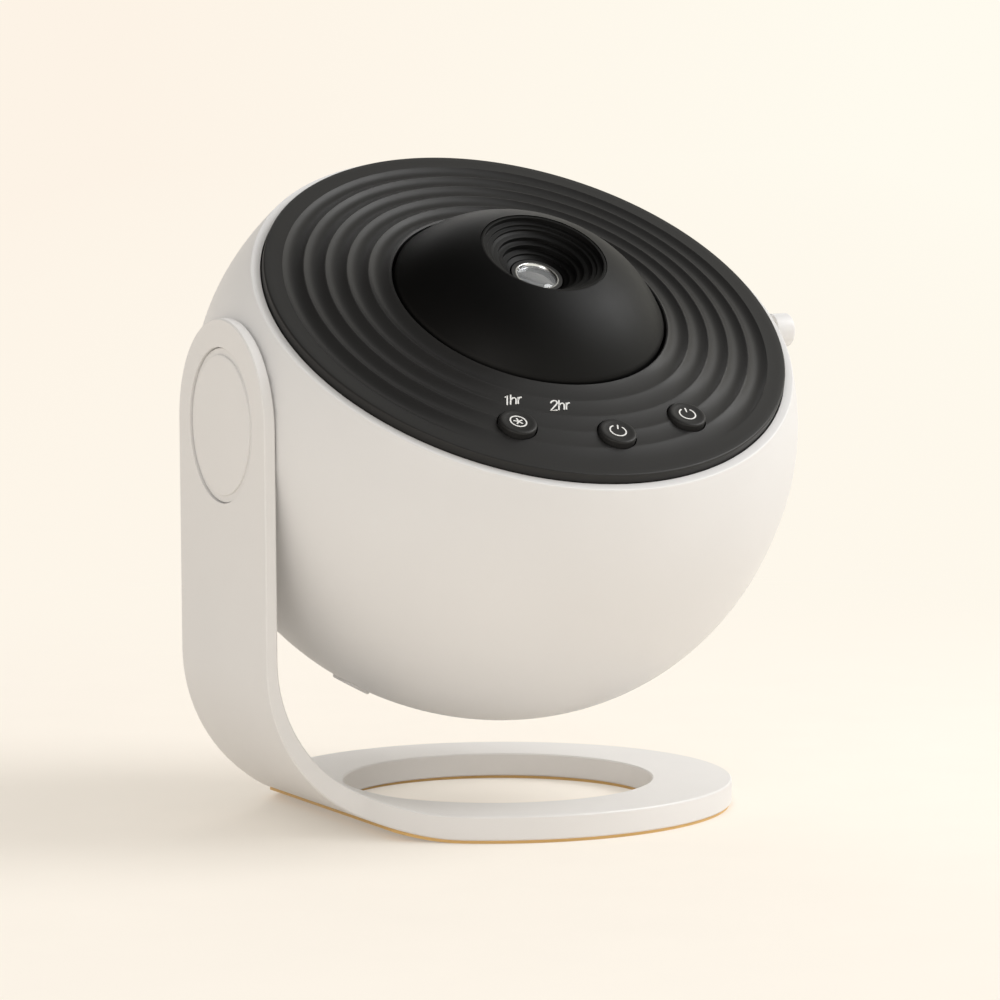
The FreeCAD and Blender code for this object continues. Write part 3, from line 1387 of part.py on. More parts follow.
def make_lamp_house():
    """The tube round the lamp; its collar is the bearing of the star disc's gear."""
    inner, outer = worked(LAMP_INNER), size("lamp_radius")
    foot, shoulder, top = worked(LAMP_FOOT), worked(LAMP_SHOULDER), size("lamp_collar")
    tube = Part.makeCylinder(outer, top - foot, V(0, 0, foot))
    drop, thick = size("lamp_flange_drop"), size("lamp_flange_thickness")
    step = Part.makeCylinder(outer + size("lamp_wall"), shoulder + drop, V(0, 0, -drop))
    flange = Part.makeCylinder(size("lamp_flange_radius"), thick, V(0, 0, -drop - thick))
    ear = Part.makeCylinder(size("motor_radius"), thick, motor_centre(-drop - thick))
    bore = Part.makeCylinder(inner, top - foot, V(0, 0, foot))
    shaft_hole = Part.makeCylinder(size("motor_shaft_radius") + size("loose_gap"), thick,
                                   motor_centre(-drop - thick))
    item = doc.addObject("Part::Feature", "lamp_house_shape")
    item.Shape = tube.fuse([step, flange, ear]).cut([bore, shaft_hole]).removeSplitter()
    return piece(on_head(item), "lamp_house")


def make_disc_carrier():
    """The toothed ring that carries the star disc round the optical axis."""
    teeth, shoulder = int(size("disc_teeth")), worked(LAMP_SHOULDER)
    turn, thick = math.radians(size("motor_angle")), size("carrier_thickness")
    gear = Part.Face(gear_outline(size("disc_module"), teeth, size("gear_backlash"), turn))
    solid = gear.extrude(V(0, 0, thick))
    solid.translate(V(0, 0, shoulder))
    bore = Part.makeCylinder(size("lamp_radius") + size("running_gap"), thick, V(0, 0, shoulder))
    seat_depth = size("star_disc_thickness") + size("clamp_ring_thickness")
    seat = Part.makeCylinder(size("star_disc_radius"), seat_depth,
                             V(0, 0, shoulder + thick + size("loose_gap") - seat_depth))
    item = doc.addObject("Part::Feature", "disc_carrier_shape")
    item.Shape = solid.cut([bore, seat])
    return piece(on_head(item), "disc_carrier")


def disc_seat_height():
    return (worked(LAMP_SHOULDER) + size("carrier_thickness") + size("loose_gap")
            - size("star_disc_thickness") - size("clamp_ring_thickness"))


def make_star_disc():
    """The glass disc with the star field."""
    item = doc.addObject("Part::Feature", "star_disc_shape")
    item.Shape = Part.makeCylinder(size("star_disc_radius"), size("star_disc_thickness"),
                                   V(0, 0, disc_seat_height()))
    return piece(on_head(item), "star_disc")


def make_disc_clamp_ring():
    """The spring ring that keeps the star disc in its seat."""
    foot = disc_seat_height() + size("star_disc_thickness")
    radius, thick = size("star_disc_radius"), size("clamp_ring_thickness")
    ring = Part.makeCylinder(radius, thick, V(0, 0, foot))
    bore = Part.makeCylinder(radius - size("clamp_ring_width"), thick, V(0, 0, foot))
    item = doc.addObject("Part::Feature", "disc_clamp_ring_shape")
    item.Shape = ring.cut(bore)
    return piece(on_head(item), "disc_clamp_ring")


def make_motor_pinion():
    """The motor's small gear, one tooth gap turned towards the disc's gear."""
    teeth = int(size("pinion_teeth"))
    turn = math.radians(size("motor_angle")) + math.pi + math.pi / teeth
    gear = Part.Face(gear_outline(size("disc_module"), teeth, size("gear_backlash"), turn))
    solid = gear.extrude(V(0, 0, size("carrier_thickness")))
    solid = solid.cut(Part.makeCylinder(size("motor_shaft_radius"), size("carrier_thickness")))
    item = doc.addObject("Part::Feature", "motor_pinion_shape")
    item.Shape = moved(solid, FreeCAD.Placement(motor_centre(worked(LAMP_SHOULDER)), FreeCAD.Rotation()))
    return piece(on_head(item), "motor_pinion")


def make_motor():
    """The geared motor below the lamp house's flange, bored for its shaft."""
    top = -size("lamp_flange_drop") - size("lamp_flange_thickness")
    length = size("motor_length")
    case = Part.makeCylinder(size("motor_radius"), length, motor_centre(top - length))
    bore = Part.makeCylinder(size("motor_shaft_radius") + size("running_gap"), length / 2,
                             motor_centre(top - length / 2))
    item = doc.addObject("Part::Feature", "disc_motor_shape")
    item.Shape = case.cut(bore)
    piece(on_head(item), "disc_motor")
    foot = top - length / 2
    shaft = doc.addObject("Part::Feature", "motor_shaft_shape")
    end = worked(LAMP_SHOULDER) + size("carrier_thickness")
    shaft.Shape = Part.makeCylinder(size("motor_shaft_radius"), end - foot, motor_centre(foot))
    return piece(on_head(shaft), "motor_shaft")


def make_led_board():
    """The lamp: a round board with one bright diode under a clear cap."""
    foot = worked(LAMP_FOOT)
    board = Part.makeCylinder(worked(LAMP_INNER), size("led_board_thickness"), V(0, 0, foot))
    seat = V(0, 0, foot + size("led_board_thickness"))
    diode = Part.makeSphere(size("led_radius"), seat, V(0, 0, 1), 0, 90)
    item = doc.addObject("Part::Feature", "led_board_shape")
    item.Shape = board.fuse(diode)
    return piece(on_head(item), "led_board")


def make_heatsink():
    """A finned block that closes the lamp house and cools the lamp."""
    top = worked(LAMP_FOOT)
    radius, base, fin = size("lamp_radius"), size("heatsink_base"), size("heatsink_fin_thickness")
    drop = size("heatsink_fin_length")
    plate = Part.makeCylinder(radius, base, V(0, 0, top - base))
    count = int(size("heatsink_fins"))
    pitch = (2 * radius - fin) / (count + 1)
    envelope = Part.makeCylinder(radius, drop, V(0, 0, top - base - drop))
    fins = []
    for index in range(count):
        across = (index - (count - 1) / 2) * pitch - fin / 2
        slab = Part.makeBox(fin, 2 * radius, drop, V(across, -radius, top - base - drop))
        fins.append(slab.common(envelope))
    item = doc.addObject("Part::Feature", "heatsink_shape")
    item.Shape = plate.fuse(fins).removeSplitter()
    return piece(on_head(item), "heatsink")


def make_pivot_bracket():
    """The plate inside the shell that carries the head on the hub."""
    start, thickness = worked(WALL_IN), size("bracket_thickness")
    plate = Part.makeCylinder(size("bracket_radius"), thickness, V(start, 0, 0), V(1, 0, 0))
    bore = Part.makeCylinder(worked(BUSH_RADIUS), thickness, V(start, 0, 0), V(1, 0, 0))
    pin_spot = V(start, 0, -size("stop_pin_circle"))
    pin_hole = Part.makeCylinder(size("stop_pin_radius"), thickness, pin_spot, V(1, 0, 0))
    threads = bracket_screw_tools(size("hub_screw_radius") * SMALL_SCREW_SHARE, start)
    item = doc.addObject("Part::Feature", "pivot_bracket_shape")
    item.Shape = plate.cut([bore, pin_hole] + threads)
    return piece(on_head(item), "pivot_bracket")


def make_pivot_bush():
    """The flanged bush between the bracket and the hub."""
    start = worked(WALL_IN)
    through, thick = size("bracket_thickness"), size("bush_flange_thickness")
    bush = Part.makeCylinder(worked(BUSH_RADIUS), through, V(start, 0, 0), V(1, 0, 0))
    flange = Part.makeCylinder(size("bush_flange_radius"), thick, V(worked(BRACKET_IN), 0, 0), V(1, 0, 0))
    bore = Part.makeCylinder(size("hub_radius") + size("running_gap"), through + thick,
                             V(start, 0, 0), V(1, 0, 0))
    item = doc.addObject("Part::Feature", "pivot_bush_shape")
    item.Shape = bush.fuse(flange).cut(bore).removeSplitter()
    return piece(on_head(item), "pivot_bush")


def make_friction_washer():
    body = turned("friction_washer", [
        ("dims.hub_radius", BUSH_IN + " + dims.running_gap"),
        ("dims.bush_flange_radius", BUSH_IN + " + dims.running_gap"),
        ("dims.bush_flange_radius", WASHER_IN),
        ("dims.hub_radius", WASHER_IN),
    ])
    return piece(at_pivot(body), "friction_washer")


def make_stop_pin():
    """The pin of the bracket that runs in the stop plate's notch."""
    start = worked(WALL_IN)
    item = doc.addObject("Part::Feature", "stop_pin_shape")
    item.Shape = Part.makeCylinder(size("stop_pin_radius"), worked(STOP_IN) - start,
                                   V(start, 0, -size("stop_pin_circle")), V(1, 0, 0))
    return piece(on_head(item), "stop_pin")


def make_bracket_screws():
    """Three screws through the bracket into the shell's wall."""
    radius = size("hub_screw_radius") * SMALL_SCREW_SHARE
    start = worked(WALL_IN) - size("shell_wall") * SMALL_SCREW_BITE_SHARE
    screws = []
    for shank in bracket_screw_tools(radius, start):
        centre = shank.CenterOfMass
        head = Part.makeCylinder(size("screw_head_radius"), size("screw_head_height"),
                                 V(worked(BRACKET_IN), centre.y, centre.z), V(1, 0, 0))
        screws.append(shank.fuse(head).removeSplitter())
    item = doc.addObject("Part::Feature", "bracket_screws_shape")
    item.Shape = Part.makeCompound(screws)
    return piece(on_head(item), "bracket_screws")


def inlet_rod(radius, start, length):
    """A cylinder on the inlet's axis, from start, measured outward from the shell's surface."""
    return Part.makeCylinder(radius, length, inlet_point(start), inlet_direction())


def make_inlet_socket():
    """The round power socket: a sleeve through the shell with a contact pin, and its body inside."""
    length, wall = size("inlet_length"), size("shell_wall")
    sleeve = inlet_rod(size("inlet_sleeve_radius"), -length, length + size("bezel_proud"))
    body = inlet_rod(size("inlet_body_radius"), -length, length - 2 * wall)
    depth = size("inlet_bore_depth")
    bore = inlet_rod(size("inlet_bore_radius"), size("bezel_proud") - depth, depth + size("overrun"))
    contact = inlet_rod(size("inlet_pin_radius"), size("bezel_proud") - depth, depth - wall)
    item = doc.addObject("Part::Feature", "inlet_socket_shape")
    item.Shape = sleeve.fuse(body).cut(bore).fuse(contact).removeSplitter()
    return piece(on_head(item), "inlet_socket")


def make_inlet_bezel():
    """The raised collar round the socket's mouth, let into the shell, with a bevelled edge."""
    proud = size("bezel_proud")
    sunk = size("bezel_sunk")
    collar = inlet_rod(size("bezel_radius"), -sunk, sunk + proud)
    outermost = max(collar.Edges, key=lambda edge: edge.CenterOfMass.dot(inlet_direction()))
    bevelled = collar.makeChamfer(size("bezel_bevel"), [outermost])
    inner = inlet_rod(size("inlet_sleeve_radius"), -sunk, sunk + proud)
    item = doc.addObject("Part::Feature", "inlet_bezel_shape")
    item.Shape = bevelled.cut(inner)
    return piece(on_head(item), "inlet_bezel")


def make_all():
    """Every piece, from the floor up and from the outside in."""
    make_stand_frame()
    make_base_pad()
    make_pivot_cap()
    make_pivot_hub()
    make_hub_screws()
    make_stop_plate()
    make_pivot_nut()
    make_friction_washer()
    make_head_shell()
    make_face_plate()
    make_dome_cover()
    make_lens_hood()
    make_buttons()
    make_button_board()
    make_button_switches()
    make_pivot_bracket()
    make_pivot_bush()
    make_stop_pin()
    make_bracket_screws()
    make_chassis_plate()
    make_chassis_screws()
    make_chassis_posts()
    make_main_board()
    make_guide_tube()
    make_lens_barrel()
    make_lenses()
    make_lens_ring()
    make_focus_rack()
    make_focus_pinion()
    make_focus_shaft()
    make_focus_knob()
    make_knob_bush()
    make_shaft_bracket()
    make_lamp_house()
    make_disc_carrier()
    make_star_disc()
    make_disc_clamp_ring()
    make_motor_pinion()
    make_motor()
    make_led_board()
    make_heatsink()
    make_inlet_socket()
    make_inlet_bezel()


def check_and_write():
    doc.recompute()
    for item in doc.Objects:
        if "Invalid" in item.State or "Error" in item.State:
            raise RuntimeError("%s is %s" % (item.Label, item.State))
    for item in PIECES:
        if item.Shape.isNull() or not item.Shape.isValid() or not item.Shape.Solids:
            raise RuntimeError(item.Label + " has no valid solid")
    os.makedirs("parts", exist_ok=True)
    for item in PIECES:
        item.Shape.exportStep(os.path.join("parts", item.Label + ".step"))
        print("%-18s %2d solids  %9.1f mm3" % (item.Label, len(item.Shape.Solids), item.Shape.Volume))


make_all()
check_and_write()
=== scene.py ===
"""Planetarium projector: its visible skins, finishes, light and camera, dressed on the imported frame.

A round white head with a rippled black face tilts on a one-armed stand. Lengths are metres.
Pieces of the head are drawn about the optical axis, which is their own Z, and are then tilted
about X and lifted to the pivot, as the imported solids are.
"""

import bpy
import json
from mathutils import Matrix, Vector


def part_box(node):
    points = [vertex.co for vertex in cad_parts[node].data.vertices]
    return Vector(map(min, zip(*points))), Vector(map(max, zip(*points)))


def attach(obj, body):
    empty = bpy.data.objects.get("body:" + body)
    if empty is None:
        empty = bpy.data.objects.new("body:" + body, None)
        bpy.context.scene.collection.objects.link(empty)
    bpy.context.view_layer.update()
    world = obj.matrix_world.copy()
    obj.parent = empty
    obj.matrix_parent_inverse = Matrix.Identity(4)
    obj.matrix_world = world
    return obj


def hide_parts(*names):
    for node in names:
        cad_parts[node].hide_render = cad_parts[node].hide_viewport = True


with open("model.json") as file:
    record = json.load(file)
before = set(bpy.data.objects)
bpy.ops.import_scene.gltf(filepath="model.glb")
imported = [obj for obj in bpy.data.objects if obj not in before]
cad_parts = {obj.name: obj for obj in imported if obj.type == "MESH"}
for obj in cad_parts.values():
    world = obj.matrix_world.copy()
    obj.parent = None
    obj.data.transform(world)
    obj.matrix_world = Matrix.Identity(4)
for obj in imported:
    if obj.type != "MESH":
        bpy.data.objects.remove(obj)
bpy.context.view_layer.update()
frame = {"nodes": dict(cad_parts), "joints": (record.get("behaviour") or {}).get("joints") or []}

import json
import math

import bmesh
import bpy
from bpy.props import FloatProperty, FloatVectorProperty, IntProperty, PointerProperty
from bpy.types import Operator, Panel, PropertyGroup
from mathutils import Matrix, Vector

bl_info = {
    "name": "Planetarium projector",
    "version": (1, 0, 0),
    "blender": (4, 5, 0),
    "location": "View3D > Sidebar > Projector",
    "description": "Builds the skins and finishes of a desk planetarium projector",
    "category": "Object",
}

MM = 0.001
TURN = 2 * math.pi
NODES = frame["nodes"]
JOINTS = {joint["name"]: joint for joint in frame["joints"]}
PIVOT = Vector(JOINTS["head_tilt"]["pos_m"])
OPTICAL_AXIS = Vector(JOINTS["lens_focus"]["axis"])
TILT = math.atan2(-OPTICAL_AXIS.y, OPTICAL_AXIS.z)
HEAD = Matrix.Translation(PIVOT) @ Matrix.Rotation(TILT, 4, "X")
ALONG_X = Matrix.Rotation(math.radians(90), 4, "Y")

SAME_POINT = 1e-7     # points nearer than this are one point
SHARP_ANGLE = 35.0    # degrees between two faces from which their edge shows
MOST_OF_SIDE = 0.49   # how much of a side of a profile one rounding may take
CUT = 0.02            # half the length of the rods that cut holes


# ---------------------------------------------------------------- sizes and colours

def length(name, default, description):
    """A length that a user can set, in metres."""
    return FloatProperty(name=name, default=default, description=description,
                         min=0.0, subtype="DISTANCE", unit="LENGTH", precision=5)


def share(name, default, description):
    """A share from 0 to 1 that a user can set."""
    return FloatProperty(name=name, default=default, description=description,
                         min=0.0, max=1.0, subtype="FACTOR")


def angle(name, default, description):
    """An angle that a user can set; its default is given in degrees."""
    return FloatProperty(name=name, default=math.radians(default), description=description,
                         subtype="ANGLE", unit="ROTATION")


def colour(name, default, description):
    """A colour that a user can set."""
    return FloatVectorProperty(name=name, default=default, description=description,
                               size=3, min=0.0, max=1.0, subtype="COLOR")


class ShellSizes(PropertyGroup):
    """The white bowl of the head."""

    widest: length("Widest radius", 0.07818, "Radius of the bowl at the pivot's height")
    depth: length("Depth", 0.07528, "From the widest ring down to the bottom of the bowl")
    fullness: FloatProperty(name="Fullness", default=2.197, min=1.5, max=4.0,
                            description="How much fuller than an ellipse the bowl is; 2 is an ellipse")
    lip_height: length("Lip height", 0.0303, "Height of the lip above the widest ring")
    lip_radius: length("Lip radius", 0.07068, "Outer radius at the lip")
    lip_width: length("Lip width", 0.0024, "Width of the lip's flat top")
    lip_round: length("Lip rounding", 0.0005, "Radius of the lip's outer edge")
    wall: length("Wall", 0.0024, "Thickness of the bowl")
    flat_x: length("Arm side", 0.0733, "Distance from the axis to the flat that faces the arm")
    hub_hole: length("Hub hole", 0.0153, "Radius of the hole for the hub")
    inlet_hole: length("Inlet hole", 0.00425, "Radius of the hole for the power socket")
    steps: IntProperty(name="Steps", default=256, min=32, max=512, description="Faces round the bowl")


class PlateSizes(PropertyGroup):
    """The black rippled face."""

    radius: length("Radius", 0.068, "Outer radius of the face")
    height: length("Height", 0.03274, "Height of the face's rim above the widest ring")
    edge_round: length("Edge rounding", 0.0005, "Radius of the outer edge")
    skirt: length("Skirt", 0.0052, "Height of the outer wall")
    hole: length("Hole", 0.0358, "Radius of the hole for the dome")
    crown_rise: length("Crown", 0.00336, "How much higher the inner edge lies")
    outer_crest: length("First crest", 0.0633, "Radius of the outermost ripple's crest")
    pitch: length("Pitch", 0.0054, "Distance between crests")
    ripple_depth: length("Ripple depth", 0.0011, "Depth of a ripple halfway between its crests")
    crest_width: length("Crest width", 0.0002, "Width of the soft edge along a crest")
    fade_from: angle("Fade from", 58.0,
                     "Turn from the middle of the buttons where the ripples start to fade")
    fade_to: angle("Fade to", 26.0,
                   "Turn from the middle of the buttons where the ripples have faded")
    remnant: share("Remnant", 0.12, "What is left of the ripples' depth between the buttons")
    steps: IntProperty(name="Steps", default=384, min=48, max=720, description="Faces round the plate")


class DomeSizes(PropertyGroup):
    """The dome, the stepped hood and the lens."""

    radius: length("Radius", 0.035, "Radius of the dome at its foot")
    foot: length("Foot", 0.0361, "Height of the dome's foot")
    skirt: length("Skirt", 0.0041, "Height of the dome's upright wall below its foot")
    top: length("Top", 0.05035, "Height of the dome's rim")
    bulge: length("Bulge", 0.002, "Bulge of the dome's curve off its chord")
    rim: length("Rim radius", 0.0164, "Radius of the dome's upper rim")
    hood: length("Hood radius", 0.0163, "Outer radius of the stepped hood")
    hood_rim: length("Hood rim", 0.0008, "Width of the hood's flat rim")
    throat: length("Throat", 0.007, "Radius of the hood's throat")
    step_round: length("Step rounding", 0.00012, "Radius of each step's edges")
    hood_depth: length("Hood depth", 0.0088, "Height of the hood")
    nose: length("Nose radius", 0.0060, "Radius of the bright ring that holds the lens")
    nose_top: length("Nose top", 0.0433, "Height of the bright ring")
    nose_length: length("Nose length", 0.0022, "Height of the bright ring's tube")
    lens: length("Lens radius", 0.0049, "Radius of the front lens")
    lens_rise: length("Lens rise", 0.0009, "How much the lens is domed")


class ButtonSizes(PropertyGroup):
    """The three buttons and their signs."""

    radius: length("Radius", 0.0048, "Radius of a button")
    well: length("Well", 0.00515, "Radius of the hole round a button")
    circle: length("Circle", 0.0535, "Distance of the buttons from the optical axis")
    proud: length("Proud", 0.0012, "Height of a button above the face")
    edge: length("Edge rounding", 0.0011, "Radius of a button's edge")
    dish: length("Dish", 0.00012, "How far a button's top is hollowed")
    length: length("Length", 0.0050, "Height of a button's cap")
    sign_ring: length("Sign ring", 0.00205, "Radius of the ring in a sign")
    stroke: length("Stroke", 0.00036, "Width of a sign's lines")
    ink: length("Ink", 0.00006, "Thickness of the printed signs")
    legend_height: length("Legend height", 0.0033, "Height of the printed figures")
    legend_slant: share("Legend slant", 0.4,
                        "Sideways lean of the printed figures, against their height")


class SidePieceSizes(PropertyGroup):
    """The focus knob, the pivot cap and the pad under the base."""

    knob_radius: length("Knob radius", 0.0044, "Radius of the focus knob")
    knob_foot: length("Knob foot", 0.0742, "Where the knob starts along X")
    knob_length: length("Knob length", 0.0053, "Length of the knob")
    knob_round: length("Knob rounding", 0.0012, "Radius of the knob's outer edge")
    knob_height: length("Knob height", 0.023, "Height of the knob above the widest ring")
    cap_radius: length("Cap radius", 0.0193, "Radius of the cap over the pivot")
    cap_outer: length("Cap face", 0.0767, "Where the cap's face lies along -X")
    cap_depth: length("Cap depth", 0.0014, "Thickness of the cap")
    groove: length("Groove", 0.0017, "Width of the groove in the cap's rim")
    groove_depth: length("Groove depth", 0.0006, "Depth of that groove")
    pad_hole: length("Pad hole", 0.0412, "Radius of the hole in the base's soft pad")
    ring_centre: FloatProperty(name="Ring centre", default=-0.0005, unit="LENGTH", precision=5,
                               description="Where the centre of the base's ring lies along X")


class Finishes(PropertyGroup):
    """The colours that a user would change."""

    shell: colour("Shell", (0.745, 0.740, 0.735), "Satin moulded plastic of the bowl")
    stand: colour("Stand", (0.76, 0.75, 0.74), "Satin coat of the stand")
    face: colour("Face", (0.0195, 0.0192, 0.019), "Fine matt plastic of the face")
    dome: colour("Dome", (0.002, 0.002, 0.002), "Matt plastic of the dome and hood")
    inner: colour("Inside", (0.05, 0.05, 0.055), "Moulded plastic inside the head")
    pad: colour("Pad", (0.72, 0.46, 0.17), "Soft pad under the base")
    ink: colour("Signs", (0.80, 0.80, 0.78), "Printed signs")


class StageSettings(PropertyGroup):
    """The floor, the lamps and the camera."""

    floor: colour("Floor", (0.94, 0.88, 0.80), "Colour of the floor")
    sky_left: colour("Backdrop left", (0.982, 0.896, 0.791), "Colour behind it on the arm's side")
    sky_right: colour("Backdrop right", (1.0, 0.965, 0.863), "Colour behind it on the knob's side")
    light: FloatProperty(name="Light", default=1.0, min=0.0, max=4.0,
                         description="Level of all the lamps")
    lens: FloatProperty(name="Lens", default=165.38, min=10, max=400, unit="CAMERA",
                        description="Focal length of the camera")


class ProjectorSettings(PropertyGroup):
    """All the settings of the projector."""

    shell: PointerProperty(type=ShellSizes)
    plate: PointerProperty(type=PlateSizes)
    dome: PointerProperty(type=DomeSizes)
    button: PointerProperty(type=ButtonSizes)
    side: PointerProperty(type=SidePieceSizes)
    finish: PointerProperty(type=Finishes)
    stage: PointerProperty(type=StageSettings)


# ---------------------------------------------------------------- mesh work

def rounded(points, steps=5):
    """A profile's (radius, height, rounding) corners, rounded, as plain (radius, height) points."""
    result = []
    for index, (across, up, rounding) in enumerate(points):
        here = Vector((across, up))
        if rounding <= 0 or index in (0, len(points) - 1):
            result.append(here)
            continue
        before = Vector(points[index - 1][:2]) - here
        after = Vector(points[index + 1][:2]) - here
        half = before.angle(after) / 2
        reach = min(rounding / math.tan(half), MOST_OF_SIDE * min(before.length, after.length))
        radius = reach * math.tan(half)
        back, forth = before.normalized(), after.normalized()
        middle = here + (back + forth).normalized() * radius / math.sin(half)
        start = here + back * reach - middle
        finish = here + forth * reach - middle
        sweep = start.angle_signed(finish)
        for step in range(steps + 1):
            spoke = start.copy()
            spoke.rotate(Matrix.Rotation(-sweep * step / steps, 2))
            result.append(middle + spoke)
    return [(point.x, point.y) for point in result]


def arc(start, finish, bulge, steps):
    """Points of a shallow arc from start to finish, both kept, that bulges to the left by bulge."""
    first, last = Vector(start), Vector(finish)
    chord = last - first
    side = Vector((-chord.y, chord.x)).normalized()
    points = []
    for step in range(steps + 1):
        along = step / steps
        points.append(tuple(first + chord * along + side * bulge * 4 * along * (1 - along)))
    return points


def lathe_mesh(mesh, profile, steps, place):
    """Adds a profile turned about Z to a bmesh, closed where it meets the axis."""
    rings = []
    for across, up in profile:
        if across < SAME_POINT:
            rings.append([mesh.verts.new(place @ Vector((0, 0, up)))])
            continue
        rings.append([mesh.verts.new(place @ Vector((across * math.cos(TURN * step / steps),
                                                     across * math.sin(TURN * step / steps), up)))
                      for step in range(steps)])
    for lower, upper in zip(rings, rings[1:]):
        for step in range(steps):
            after = (step + 1) % steps
            corners = [lower[step % len(lower)], lower[after % len(lower)],
                       upper[after % len(upper)], upper[step % len(upper)]]
            unique = list(dict.fromkeys(corners))
            if len(unique) > 2:
                mesh.faces.new(unique)


def smooth(data):
    """Shades a mesh smooth except over its sharp edges."""
    data.shade_smooth()
    data.set_sharp_from_angle(angle=math.radians(SHARP_ANGLE))


def object_from(mesh, name):
    """A new object from a bmesh, smooth except over its sharp edges."""
    bmesh.ops.recalc_face_normals(mesh, faces=mesh.faces)
    data = bpy.data.meshes.new(name)
    mesh.to_mesh(data)
    mesh.free()
    smooth(data)
    item = bpy.data.objects.new(name, data)
    bpy.context.scene.collection.objects.link(item)
    return item


def turned(name, profile, steps, place=None, closed=True):
    """A turned piece; a closed profile returns to its first point."""
    mesh = bmesh.new()
    points = list(profile)
    if closed:
        points.append(points[0])
    lathe_mesh(mesh, points, steps, place or HEAD)
    bmesh.ops.remove_doubles(mesh, verts=mesh.verts, dist=SAME_POINT)
    return object_from(mesh, name)


def cut_with(item, tools):
    """Cuts the tools out of a piece and removes them."""
    for tool in tools:
        modifier = item.modifiers.new("cut", "BOOLEAN")
        modifier.object = tool
        modifier.operation = "DIFFERENCE"
        modifier.solver = "EXACT"
    graph = bpy.context.evaluated_depsgraph_get()
    data = bpy.data.meshes.new_from_object(item.evaluated_get(graph))
    item.modifiers.clear()
    item.data = data
    for tool in tools:
        bpy.data.objects.remove(tool)
    smooth(data)
    return item


def rod(name, radius, low, high, place, steps=96):
    """A plain closed cylinder for cutting, from low to high along the place's Z."""
    profile = [(0, low), (radius, low), (radius, high), (0, high)]
    return turned(name, profile, steps, place, closed=False)


def settle(item, body, slot, finish, *replaced):
    """Gives a piece its finish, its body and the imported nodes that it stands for."""
    item.data.materials.clear()
    item.data.materials.append(MATERIALS[finish])
    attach(item, body)
    if replaced:
        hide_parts(*replaced)
    return item


# ---------------------------------------------------------------- finishes

# Moulded and coated finishes: roughness, its spread, scale of the grain, its bump, mottling
GRAINS = {
    "shell_white": (0.42, 0.05, 2400.0, 0.10, 0.012),
    "stand_white": (0.40, 0.05, 3200.0, 0.12, 0.012),
    "face_black": (0.42, 0.04, 3600.0, 0.12, 0.05),
    "dome_black": (0.50, 0.04, 3600.0, 0.12, 0.05),
    "inner_black": (0.55, 0.06, 1800.0, 0.15, 0.05),
    "pad_amber": (0.55, 0.08, 1500.0, 0.2, 0.05),
    "sign_ink": (0.5, 0.05, 4000.0, 0.05, 0.02),
    "gear_white": (0.35, 0.05, 1500.0, 0.08, 0.02),
    "circuit": (0.3, 0.06, 900.0, 0.25, 0.15),
    "barrel_black": (0.35, 0.05, 2500.0, 0.1, 0.05),
}
# Level of the reflections where it isn't the usual one
USUAL_SPECULAR = 0.5
SPECULAR = {"face_black": 0.26, "dome_black": 0.19}
# Metals: colour and roughness
METALS = {
    "steel": ((0.62, 0.62, 0.62), 0.32),
    "brass": ((0.80, 0.62, 0.32), 0.28),
    "aluminium": ((0.78, 0.79, 0.80), 0.34),
    "bright_ring": ((0.86, 0.87, 0.88), 0.2),
}
LINE_STRETCH = (4000.0, 4000.0, 60.0)  # fine lines along the metals' own Z
GRAIN_HEIGHT = 0.00004
LINE_HEIGHT = 0.00002
GLASS_SOCKETS = {"Transmission Weight": 0.82, "IOR": 1.52, "Coat Weight": 0.4, "Coat Roughness": 0.02}
GLASS_TINTS = ((0.3, (0.90, 0.93, 0.96)), (0.7, (0.95, 0.96, 0.97)))

MATERIALS = {}


def plain_material(name):
    """A new material with its node tree and its shader, kept by name for the pieces."""
    material = bpy.data.materials.new(name)
    material.use_nodes = True
    MATERIALS[name] = material
    return material.node_tree, material.node_tree.nodes["Principled BSDF"]


def noise(tree, scale, detail, roughness=0.5, stretch=None):
    """A noise in the piece's own space, with an optional stretch along its axes."""
    source = tree.nodes.new("ShaderNodeTexCoord").outputs["Object"]
    if stretch:
        mapping = tree.nodes.new("ShaderNodeMapping")
        mapping.inputs["Scale"].default_value = stretch
        tree.links.new(source, mapping.inputs["Vector"])
        source = mapping.outputs["Vector"]
    texture = tree.nodes.new("ShaderNodeTexNoise")
    texture.inputs["Scale"].default_value = scale
    texture.inputs["Detail"].default_value = detail
    texture.inputs["Roughness"].default_value = roughness
    tree.links.new(source, texture.inputs["Vector"])
    return texture.outputs["Fac"]


def ramp(tree, source, stops):
    """A colour ramp over a pattern; stops are (position, colour) pairs."""
    node = tree.nodes.new("ShaderNodeValToRGB")
    elements = node.color_ramp.elements
    while len(elements) < len(stops):
        elements.new(0.5)
    for element, (position, shade) in zip(elements, stops):
        element.position = position
        element.color = (*shade, 1.0)
    tree.links.new(source, node.inputs["Fac"])
    return node.outputs["Color"]


def grey_ramp(tree, source, stops):
    """A ramp of plain levels over a pattern; stops are (position, level) pairs."""
    return ramp(tree, source, [(position, (level,) * 3) for position, level in stops])


def scaled(shade, factor):
    """A colour made lighter or darker, no channel over 1."""
    return tuple(min(1.0, channel * factor) for channel in shade)


def relief(tree, shader, pattern, strength, height):
    """Makes a pattern look raised, by a strength and a height in metres."""
    bump = tree.nodes.new("ShaderNodeBump")
    bump.inputs["Strength"].default_value = strength
    bump.inputs["Distance"].default_value = height
    tree.links.new(pattern, bump.inputs["Height"])
    tree.links.new(bump.outputs["Normal"], shader.inputs["Normal"])


